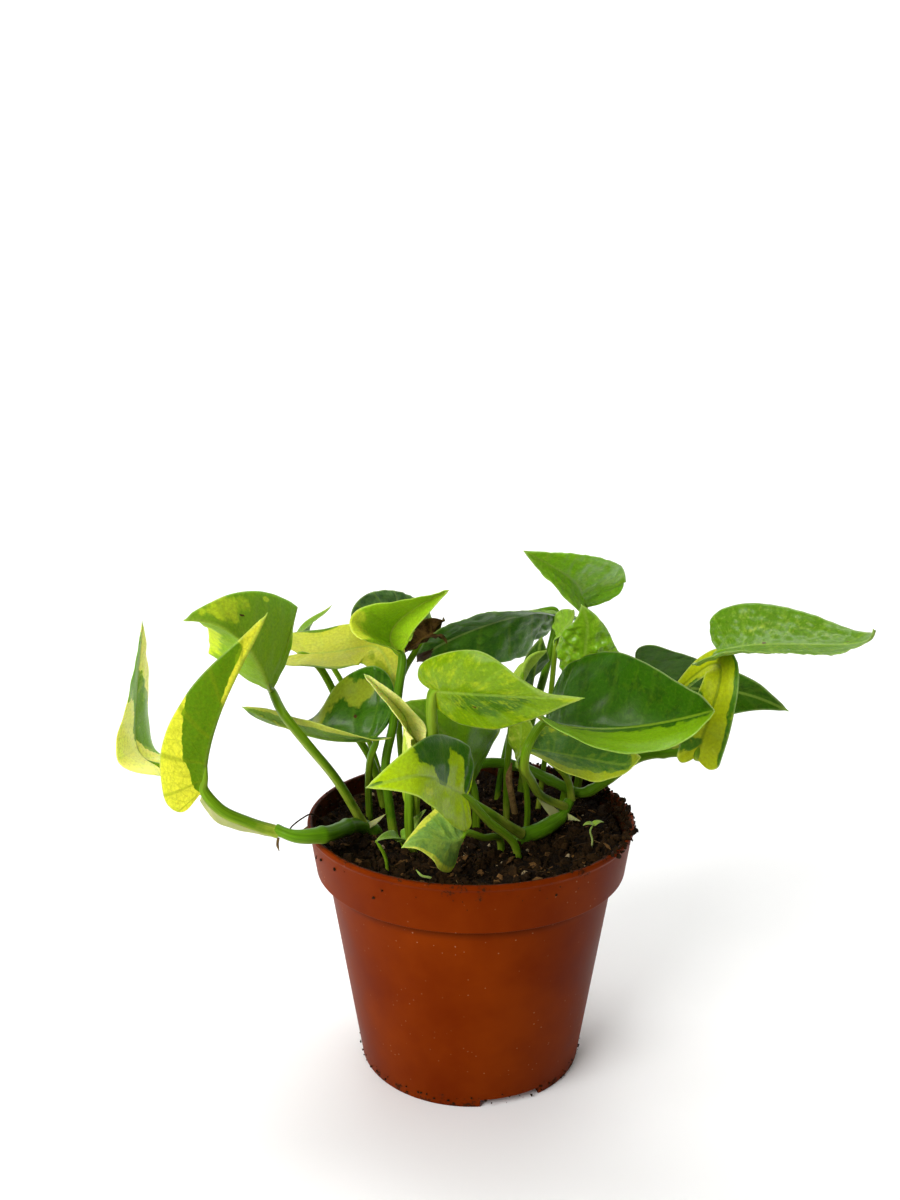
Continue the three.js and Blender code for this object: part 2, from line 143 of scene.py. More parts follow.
# The faces between rows of points that lie one after another in a list, each row with the same count.
def gridFaces(rows, count):
    corners = [row * count + k for row in range(rows - 1) for k in range(count - 1)]
    return [(a, a + 1, a + count + 1, a + count) for a in corners]


# Two grids of points, one over the other, as one closed smooth skin.
def closedSkin(upper, lower):
    count, columns = upper.shape[:2]
    back = count * columns
    top = gridFaces(count, columns)
    last = back - columns
    edges = [(i * columns, (i + 1) * columns) for i in range(count - 1)]
    edges += [((i + 2) * columns - 1, (i + 1) * columns - 1) for i in range(count - 1)]
    edges += [(j + 1, j) for j in range(columns - 1)]
    edges += [(last + j, last + j + 1) for j in range(columns - 1)]
    bottom = [tuple(back + corner for corner in reversed(face)) for face in top]
    rim = [(a, b, b + back, a + back) for a, b in edges]
    mesh = meshOf(np.concatenate([upper.reshape(-1, 3), lower.reshape(-1, 3)]), top + bottom + rim)
    mesh.shade_smooth()
    return mesh


# Joins meshes into one object that rides on the root and stands for its CAD nodes.
def finishPiece(name, meshes, slotName, *nodes):
    parts = [addObject(name, mesh) for mesh in meshes]
    piece = parts[0]
    if len(parts) > 1:
        with bpy.context.temp_override(active_object=piece, object=piece, selected_objects=parts,
                                       selected_editable_objects=parts):
            bpy.ops.object.join()
    piece.name = name
    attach(piece, "root")
    if nodes:
        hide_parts(*nodes)


# The camera: where the picture was taken from, for an image of 900 x 1200.
cameraSet = {"place": (-0.0076, -0.4107, 0.2638), "pitch": 12.36, "lens": 35.59, "sensor": 36}
cameraData = bpy.data.cameras.new("camera")
cameraData.sensor_fit = "VERTICAL"
cameraData.sensor_height = cameraData.sensor_width = cameraSet["sensor"]
cameraData.lens = cameraSet["lens"]
cameraData.clip_start = 0.01
camera = addObject("camera", cameraData)
camera.location = cameraSet["place"]
camera.rotation_euler = (math.radians(90 - cameraSet["pitch"]), 0, 0)
scene.camera = camera
print("camera set")

# Leaf blades follow the CAD's own rule on a finer grid: a flat heart outline is laid on a curved midrib, folded
# along it and curled across.
bladeSet = {
    "rows": 88,              # from the base to the tip
    "columns": 20,           # from the midrib to the edge
    "thickness": 0.5 * mm,
    "crease": 1.3,           # how wide the fold along the midrib is rounded, in mm
    "veins": 7,              # side veins in each half
    "ridge": 0.42,           # the midrib stands this share of the stalk's thickness below the blade
    "outline": [(-0.03, 0.08), (-0.5, 1.2), (0.35, 1.5), (0.75, 0.25), (1, 0.03)],
    "outlineWidth": 0.95,    # the widest place of that outline
    "bellyShift": [(0, 0), (0.15, -0.4), (0.35, 0.3), (0.05, 0.1), (0, 0)],
    "veinSweep": 2.2,        # how far the side veins sweep toward the tip
}


def unit(vectors):
    return vectors / np.linalg.norm(vectors, axis=-1, keepdims=True)


def softStep(value, low, high):
    t = np.clip((value - low) / (high - low), 0, 1)
    return t * t * (3 - 2 * t)


# A Bezier curve through its control points at every t.
def bezier(points, t):
    levels = [np.array(p, float) + 0 * t[:, None] for p in points]
    while len(levels) > 1:
        levels = [a + (b - a) * t[:, None] for a, b in zip(levels, levels[1:])]
    return levels[0]


# Places and directions at equal steps along the midrib, from the stalk to the tip.
def midribFrames(leaf, count=40):
    even = np.linspace(0, 1, 1001)
    steps = np.linalg.norm(np.diff(bezier(leaf["midrib"], even), axis=0), axis=1)
    reach = np.concatenate([[0], np.cumsum(steps)])
    t = np.interp(np.linspace(0, reach[-1], count + 1), reach, even)
    place = bezier(leaf["midrib"], t)
    a, b, c, d = (np.array(p, float) for p in leaf["midrib"])
    t = t[:, None]
    along = unit((b - a) * (1 - t) ** 2 + (c - b) * 2 * t * (1 - t) + (d - c) * t ** 2)
    up, face = np.array(leaf["face"], float), []
    for i in range(count + 1):
        up = unit(up - along[i] * (up @ along[i]))
        turn = math.radians(leaf["twist"]) * i / count
        face.append(up * math.cos(turn) + np.cross(along[i], up) * math.sin(turn))
    return place, along, np.array(face), np.cross(along, face), reach[-1]


# The middle layer of a blade: points, normals, and each point's place on the flat leaf in millimetres.
def bladeLayer(leaf):
    place, along, face, across, length = midribFrames(leaf)
    row = np.linspace(0, 1, bladeSet["rows"] + 1)[:, None]
    signed = np.linspace(-1, 1, 2 * bladeSet["columns"] + 1)[None, :]
    side, part, half = np.where(signed < 0, -1, 1), np.abs(signed), np.where(signed < 0, 0, 1)
    # The outline: belly moves its widest place toward the tip, lobe draws out the base, pinch narrows a half
    shape = np.array(bladeSet["outline"]) + leaf["belly"] * np.array(bladeSet["bellyShift"])
    edge = bezier(shape, row[:, 0])
    edgeX = np.where(edge[:, :1] < 0, edge[:, :1] * leaf["lobe"], edge[:, :1])
    x = row ** bladeSet["veinSweep"] * (1 - part) + edgeX * part
    halfWidth = leaf["width"] / 2
    rowWidth = edge[:, 1:] * halfWidth * (1 + side * leaf["skew"]) / bladeSet["outlineWidth"]
    rowWidth = rowWidth * (1 - 0.7 * softStep(row, 0.95, 1))  # the drawn-out tip ends in a point
    rowWidth = rowWidth * (1 - np.array(leaf["pinch"])[half] * softStep(row, 0.45, 0.8))
    y = part * rowWidth
    fold, curl = np.radians(leaf["fold"])[half], np.radians(leaf["curl"])[half] * y / halfWidth / 2
    bend = np.minimum(fold, np.arctan(rowWidth / 3 * 2.25)) + curl
    crease = bladeSet["crease"] * softStep(rowWidth, 0, 8) + 0.01
    rise = np.sqrt(y ** 2 + crease ** 2) - crease
    # Margin waves, the quilting between the side veins, broad swellings and a fine ripple
    phase = (len(leaf["name"]) * 1.7 + leaf["midrib"][3][0]) % 6.28
    flatX, body = x * length, softStep(rowWidth, 1, 8)
    wave = np.sin(row * 14 + phase + side) * 0.6 + np.sin(row * 31 + 2 * phase * side) * 0.4
    quilt = (1 - np.cos(2 * math.pi * row * bladeSet["veins"])) / 2 * softStep(y, 0.5, 4) * (1 - part ** 5)
    swell = np.sin(flatX * 0.31 + side * y * 0.22 + phase) * np.sin(y * 0.43 - flatX * 0.12 + side)
    ripple = np.sin(flatX * 0.8 + y * 0.5 + phase) * np.sin(y * 0.95 - flatX * 0.35)
    ripple = ripple + 0.4 * np.sin(flatX * 1.7 - y * 1.3 * side + 2 * phase)
    lift = leaf["wave"] * wave * part ** 3 * body + leaf["pucker"] * (quilt - 0.4 * softStep(y, 0, 4))
    lift = lift + 0.8 * leaf["pucker"] * swell * softStep(y, 0.5, 5) * body
    lift = lift + leaf["crinkle"] * ripple * softStep(y, 0.5, 4) * body
    # Laid along the midrib's curve
    spot = np.clip(x, 0, 1) * (len(place) - 1)
    low = np.minimum(spot.astype(int), len(place) - 2)
    mix = (spot - low)[..., None]
    middle, up, out = (values[low] * (1 - mix) + values[low + 1] * mix for values in (place, face, across))
    out = out * side[..., None]
    slope = (bend + curl) * softStep(y, 0, crease + 0.01)
    normal = unit(up * np.cos(slope)[..., None] - out * np.sin(slope)[..., None])
    points = middle + along[0] * (np.minimum(x, 0) * length)[..., None] + normal * lift[..., None]
    points = points + out * (y * np.cos(bend))[..., None] + up * (rise * np.sin(bend))[..., None]
    return points * mm, normal, flatX, side * y, row + 0 * part, signed + 0 * row, rowWidth + 0 * part


# A closed thin blade. Its attributes say where a point lies on the flat leaf and how pale, dark or brown it is.
def bladeMesh(leaf):
    points, normal, flatX, flatY, row, signed, rowWidth = bladeLayer(leaf)
    part, y, veins = np.abs(signed), np.abs(flatY), bladeSet["veins"]
    reach = np.clip(flatX / flatX.max(), 0, 1)
    fromVein = np.abs((row * veins + 0.5) % 1 - 0.5) * flatX.max() / veins
    sideVein = np.exp(-(fromVein / 0.35) ** 2) * softStep(y, 0.3, 2) * (1 - part) ** 0.6
    sideVein = sideVein * softStep(row, 0.08, 0.2)
    half = bladeSet["thickness"] / 2 * (1 - 0.6 * part ** 6) * softStep(rowWidth, -1.5, 2)
    ridge = bladeSet["ridge"] * leaf["thickness"] * (1 - reach) ** 0.8
    ridge = ridge * np.exp(-(y / (0.28 * leaf["thickness"])) ** 2) + 0.14 * sideVein
    groove = 0.22 * (1 - 0.6 * reach) * np.exp(-(y / 0.5) ** 2) + 0.05 * sideVein
    upper = points + normal * (half - groove * mm * softStep(rowWidth, 1, 4))[..., None]
    mesh = closedSkin(upper, points - normal * (half + ridge * mm)[..., None])
    faces, rim = 4 * bladeSet["rows"] * bladeSet["columns"], 2 * bladeSet["rows"] + 4 * bladeSet["columns"]
    mesh.polygons.foreach_set("material_index", np.repeat([0, 1, 0], [faces // 2, faces // 2, rim]))
    fields = {"pale": leaf["pale"] + 0 * row, "dark": leaf["dark"] + 0 * row, "brown": 0 * row}
    for spotRow, spotPart, rowReach, partReach, changes in leaf["patches"]:
        weight = np.exp(-((row - spotRow) / rowReach) ** 2 - ((signed - spotPart) / partReach) ** 2)
        for field, amount in changes.items():
            fields[field] = fields[field] + amount * weight
    fields.update(row=row, part=signed, edgeGap=rowWidth * (1 - part), flatX=flatX, flatY=flatY)
    for field, values in fields.items():
        attribute = mesh.attributes.new(field, "FLOAT", "POINT")
        attribute.data.foreach_set("value", np.tile(values.ravel(), 2).astype(np.float32))
    return mesh


# Pothos blade: a smooth, tough leaf with a thin wax. Soft highlights above, matt below, light glows through.
def leafMaterial(leaf, face):
    material, node = newMaterial(f"{leaf['name'].replace('_', ' ')}, {face} face")
    above = face == "upper"
    names = ("row", "part", "pale", "dark", "brown", "edgeGap", "flatX", "flatY")
    field = {name: node("Attribute", attribute_name=name).outputs["Fac"] for name in names}
    # Streaks and flecks follow the side veins: fine across the rows, long from the midrib to the edge
    noises = []
    for rows, parts, shift, detail in ((20, 2.2, 0, 4), (70, 9, 5, 3)):
        place = node("CombineXYZ", node("Math", field["row"], rows, operation="MULTIPLY"),
                     node("Math", field["part"], parts, operation="MULTIPLY"), leaf["seed"] + shift)
        noises.append(node("TexNoise", Vector=place, Scale=1, Detail=detail, Roughness=0.6))
    streak, fleck = noises
    flat = node("CombineXYZ", field["flatX"], field["flatY"], 0)
    blotchPlace = node("Mapping", Vector=flat, Location=(leaf["seed"] * 7, 0, 0))
    blotch = node("TexNoise", Vector=blotchPlace, Scale=0.16, Detail=3, Roughness=0.55)
    mottle = node("TexNoise", Vector=blotchPlace, Scale=0.9, Detail=4, Roughness=0.7)
    noiseSum = node("Math", blotch, leaf["blotch"], operation="MULTIPLY")
    noiseSum = node("Math", streak, leaf["streak"], noiseSum, operation="MULTIPLY_ADD")
    middle = 0.5 + (leaf["streak"] + leaf["blotch"]) / 2
    low, high = middle - leaf["softness"], middle + leaf["softness"]
    masks = {name: node("MapRange", node("Math", field[name], noiseSum, operation="ADD"), low, high, **smooth)
             for name in ("pale", "dark")}
    flecks = node("MapRange", node("Math", blotch, 0.6, fleck, operation="MULTIPLY_ADD"), 0.82, 0.98, 0,
                  leaf["fleck"], **smooth)
    # Side veins, a net between them, the midrib, a pale edge half a millimetre wide as a painted highlight
    # along the rim, and brown spots
    veinPhase = node("Math", node("Math", field["row"], bladeSet["veins"], operation="MULTIPLY"), 0.5,
                     operation="PINGPONG")
    netShift = node("VectorMath", mottle.outputs["Color"], Scale=1.6, operation="SCALE")
    net = node("TexVoronoi", Vector=node("VectorMath", flat, netShift, operation="ADD"), Scale=0.34,
               feature="DISTANCE_TO_EDGE")
    net = node("MapRange", net, 0, 0.09, 1, 0)
    veins = node("Math", node("MapRange", veinPhase, 0.02, 0.1, leaf["veinShow"], 0, **smooth),
                 node("Math", net, leaf["netShow"], operation="MULTIPLY"), operation="MAXIMUM")
    midrib = node("Math", field["flatY"], operation="ABSOLUTE")
    midrib = node("MapRange", midrib, 0.25, 0.9, leaf["midribShow"], 0, **smooth)
    rim = node("MapRange", field["edgeGap"], 0.15, 0.55, leaf["rimShow"], 0, **smooth)
    spots = node("MapRange", node("Math", field["brown"], mottle, operation="ADD"), 0.95, 1.15, **smooth)
    colour, pale, dark = (linear(tone) for tone in leaf[face])
    for share, tone in ((masks["dark"], dark), (masks["pale"], pale), (flecks, pale),
                        (veins, linear(leaf["veinColour"])), (midrib, linear(leaf["midribColour"])),
                        (rim, linear(leaf["rimColour"])), (spots, linear(leaf["brownColour"]))):
        colour = node("Mix", share, colour, tone, data_type="RGBA")
    colour = node("HueSaturation", Color=colour, Value=node("MapRange", mottle, 0.3, 0.7, 0.76, 1.2))
    relief = node("Math", mottle, 0.8, operation="MULTIPLY")
    relief = node("Math", net, -0.5 if above else 0.9, relief, operation="MULTIPLY_ADD")
    smoother, rougher = (0, 0.12) if above else (0.2, 0.3)
    roughness = node("MapRange", blotch, 0.3, 0.7, leaf["roughness"] + smoother, leaf["roughness"] + rougher)
    shader = node("BsdfPrincipled", Base_Color=colour, Roughness=roughness, Specular_IOR_Level=0.12,
                  Specular_Tint=linear("#d8ee80"), Coat_Weight=leaf["wax"] if above else 0, Coat_Roughness=0.22,
                  Subsurface_Weight=leaf["glow"], Subsurface_Radius=(0.55, 1, 0.12), Subsurface_Scale=1.2 * mm,
                  Normal=node("Bump", Height=relief, Strength=0.5, Distance=0.12 * mm))
    node("OutputMaterial", shader)
    return material


# A blade with a material on each face.
def grownBlade(leaf):
    blade = bladeMesh(leaf)
    for face in ("upper", "lower"):
        blade.materials.append(leafMaterial(leaf, face))
    return blade

# Stalks and vines: a tube along a curve, with a channel down its front, a swollen foot and joints.
stalkTree, node, given = newGeometryTree("stalk", {
    "Thickness": 3 * mm, "Foot swell": 0.3, "Foot reach": 5 * mm, "End share": 0.3, "End reach": 6 * mm,
    "Joint spacing": 1.0, "Joint offset": 0.0, "Joint swell": 0.0, "Joint width": 1.5 * mm, "Channel": 0.2,
    "Step": 0.7 * mm, "Sides": 20, "Material": "Material"})
path = node("GeometryNodeResampleCurve", Curve=given["Geometry"], Length=given["Step"], mode="LENGTH")
spline = node("GeometryNodeSplineParameter")
run = spline.outputs["Length"]
halfStep, backStep = (node("ShaderNodeMath", given["Joint spacing"], share, operation="MULTIPLY")
                      for share in (0.5, -0.5))
toJoint = node("ShaderNodeMath", run, given["Joint offset"], operation="SUBTRACT")
toJoint = node("ShaderNodeMath", toJoint, halfStep, backStep, operation="WRAP")
toEnd = node("ShaderNodeMath", node("GeometryNodeSplineLength"), run, operation="SUBTRACT")
ending = node("ShaderNodeMapRange", toEnd, 0, given["End reach"], given["End share"], 1, **smooth)
radius = node("ShaderNodeMath", given["Thickness"], 0.5, operation="MULTIPLY")
radius = node("ShaderNodeMath", radius, ending, operation="MULTIPLY")
# The foot and each joint swell by a bell: 1 + swell * exp(-(distance / width)^2)
for distance, width, swell in ((run, "Foot reach", "Foot swell"), (toJoint, "Joint width", "Joint swell")):
    ratio = node("ShaderNodeMath", distance, given[width], operation="DIVIDE")
    bell = node("ShaderNodeMath", ratio, ratio, operation="MULTIPLY")
    bell = node("ShaderNodeMath", 1 / math.e, bell, operation="POWER")
    bell = node("ShaderNodeMath", bell, given[swell], 1, operation="MULTIPLY_ADD")
    radius = node("ShaderNodeMath", radius, bell, operation="MULTIPLY")
ring = node("GeometryNodeCurvePrimitiveCircle", Resolution=given["Sides"], Radius=1, mode="RADIUS")
spot = node("GeometryNodeInputPosition")
angle = node("ShaderNodeSeparateXYZ", spot)
angle = node("ShaderNodeMath", angle.outputs["X"], angle.outputs["Y"], operation="ARCTAN2")
dent = node("ShaderNodeMath", angle, operation="ABSOLUTE")
dent = node("ShaderNodeMapRange", dent, 0, 0.8, given["Channel"], 0, **smooth)
dent = node("ShaderNodeMath", dent, -1, operation="MULTIPLY")
dent = node("ShaderNodeVectorMath", spot, Scale=dent, operation="SCALE")
ring = node("GeometryNodeSetPosition", ring, Offset=dent)
path, ring = (node("GeometryNodeStoreNamedAttribute", Geometry=line, Name=name, Value=spline, data_type="FLOAT",
                   domain="POINT") for line, name in ((path, "alongStalk"), (ring, "aroundStalk")))
tube = node("GeometryNodeCurveToMesh", Curve=path, Profile_Curve=ring, Scale=radius, Fill_Caps=True)
tube = node("GeometryNodeSetShadeSmooth", node("GeometryNodeRealizeInstances", tube))
node("NodeGroupOutput", node("GeometryNodeSetMaterial", tube, Material=given["Material"]))


# A smooth curve through points, close enough together that its chords don't show: centripetal Catmull-Rom.
def smoothPath(points, steps=10):
    points = [np.array(p, float) for p in points]
    points = [2 * points[0] - points[1], *points, 2 * points[-1] - points[-2]]
    path = []
    for a, b, c, d in zip(points, points[1:], points[2:], points[3:]):
        gaps = [max(np.linalg.norm(q - p) ** 0.5, 1e-6) for p, q in ((a, b), (b, c), (c, d))]
        leave = (b - a) / gaps[0] - (c - a) / (gaps[0] + gaps[1]) + (c - b) / gaps[1]
        enter = (c - b) / gaps[1] - (d - b) / (gaps[1] + gaps[2]) + (d - c) / gaps[2]
        for t in np.arange(steps) / steps:
            path.append((2 * t**3 - 3 * t**2 + 1) * b + (t**3 - 2 * t**2 + t) * gaps[1] * leave
                        + (3 * t**2 - 2 * t**3) * c + (t**3 - t**2) * gaps[1] * enter)
    return np.array(path + [points[-2]])


def stalkMesh(points, thickness, material, values):
    path = smoothPath(points) * mm
    curve = bpy.data.curves.new("path", "CURVE")
    curve.dimensions = "3D"
    spline = curve.splines.new("POLY")
    spline.points.add(len(path) - 1)
    spline.points.foreach_set("co", np.c_[path, np.ones(len(path))].ravel())
    values = {"Thickness": thickness * mm, "Material": material, **values}
    return growMesh(addObject("path", curve), stalkTree, values)


# Young stem and stalk skin: smooth and slightly waxy, with fine lines along it.
# The colours are those of the foot, the middle and the end.
def stalkMaterial(name, *colours):
    material, node = newMaterial(name)
    along, around = (node("Attribute", attribute_name=line).outputs["Fac"]
                     for line in ("alongStalk", "aroundStalk"))
    patchy = node("TexNoise", Vector=node("TexCoord").outputs["Object"], Scale=160, Detail=3)
    linePlace = node("CombineXYZ", node("Math", around, 30, operation="MULTIPLY"),
                     node("Math", along, 4, operation="MULTIPLY"), 0)
    lines = node("TexNoise", Vector=linePlace, Scale=1, Detail=2)
    spot = node("Math", node("Math", patchy, 0.5, operation="SUBTRACT"), 0.6, along, operation="MULTIPLY_ADD")
    ramp = node("ValToRGB", spot)
    ramp.color_ramp.elements.new(0.22)
    for stop, colour in zip(ramp.color_ramp.elements, colours):
        stop.color = linear(colour)
    facing = node("SeparateXYZ", node("NewGeometry").outputs["Normal"]).outputs["Z"]
    below = node("MapRange", facing, -0.7, 0.1, 0.6, 0, **smooth)
    colour = node("Mix", below, ramp, linear(colours[0]), data_type="RGBA")
    colour = node("HueSaturation", Color=colour, Value=node("MapRange", lines, 0.3, 0.7, 0.7, 1.22))
    shader = node("BsdfPrincipled", Base_Color=colour, Roughness=0.42, Specular_IOR_Level=0.16,
                  Specular_Tint=linear("#e0f090"), Coat_Weight=0.05, Subsurface_Weight=0.25,
                  Subsurface_Radius=(0.6, 1, 0.1), Subsurface_Scale=1.2 * mm,
                  Normal=node("Bump", Height=lines, Strength=0.5, Distance=0.12 * mm))
    node("OutputMaterial", shader)
    return material


greenSkin = stalkMaterial("Stalk skin, green", "#93a032", "#587c0c", "#6c9412")
darkSkin = stalkMaterial("Stalk skin, dark", "#7c8e22", "#466c0c", "#568210")
vineSkin = stalkMaterial("Vine skin", "#6c8424", "#446c0a", "#5c8a10")

# What a leaf has unless its own entry says otherwise. Its shape is told as in the CAD, in millimetres and
# degrees: where its stalk starts, its midrib from stalk to tip, and how the blade faces, turns, folds and
# curls. Then come its looks: upper and lower are (green, pale, dark), pale and dark say how much of each it
# has, and a patch is (row, part, its reach in each, what it adds).
usualLeaf = {
    "twist": 0, "curl": (0, 0), "skew": 0, "lobe": 1, "pinch": (0, 0), "belly": 0,
    "upper": ("#4f7d0e", "#a9b32c", "#2c5208"), "lower": ("#6a8d2c", "#aeb43c", "#456a22"),
    "pale": 0.1, "dark": 0.2, "streak": 0.7, "blotch": 0.9, "softness": 0.09, "fleck": 0.1, "patches": [],
    "wave": 0.55, "pucker": 0.3, "crinkle": 0, "roughness": 0.36, "wax": 0.06, "glow": 0.25,
    "veinColour": "#86a630", "veinShow": 0.14, "netShow": 0.08, "midribColour": "#8fae40", "midribShow": 0.45,
    # The usual pale rimColour, shown at rimShow, is a painted highlight along the edge.
    "rimColour": "#b9c67c", "rimShow": 0.25, "brownColour": "#4a2a14",
}
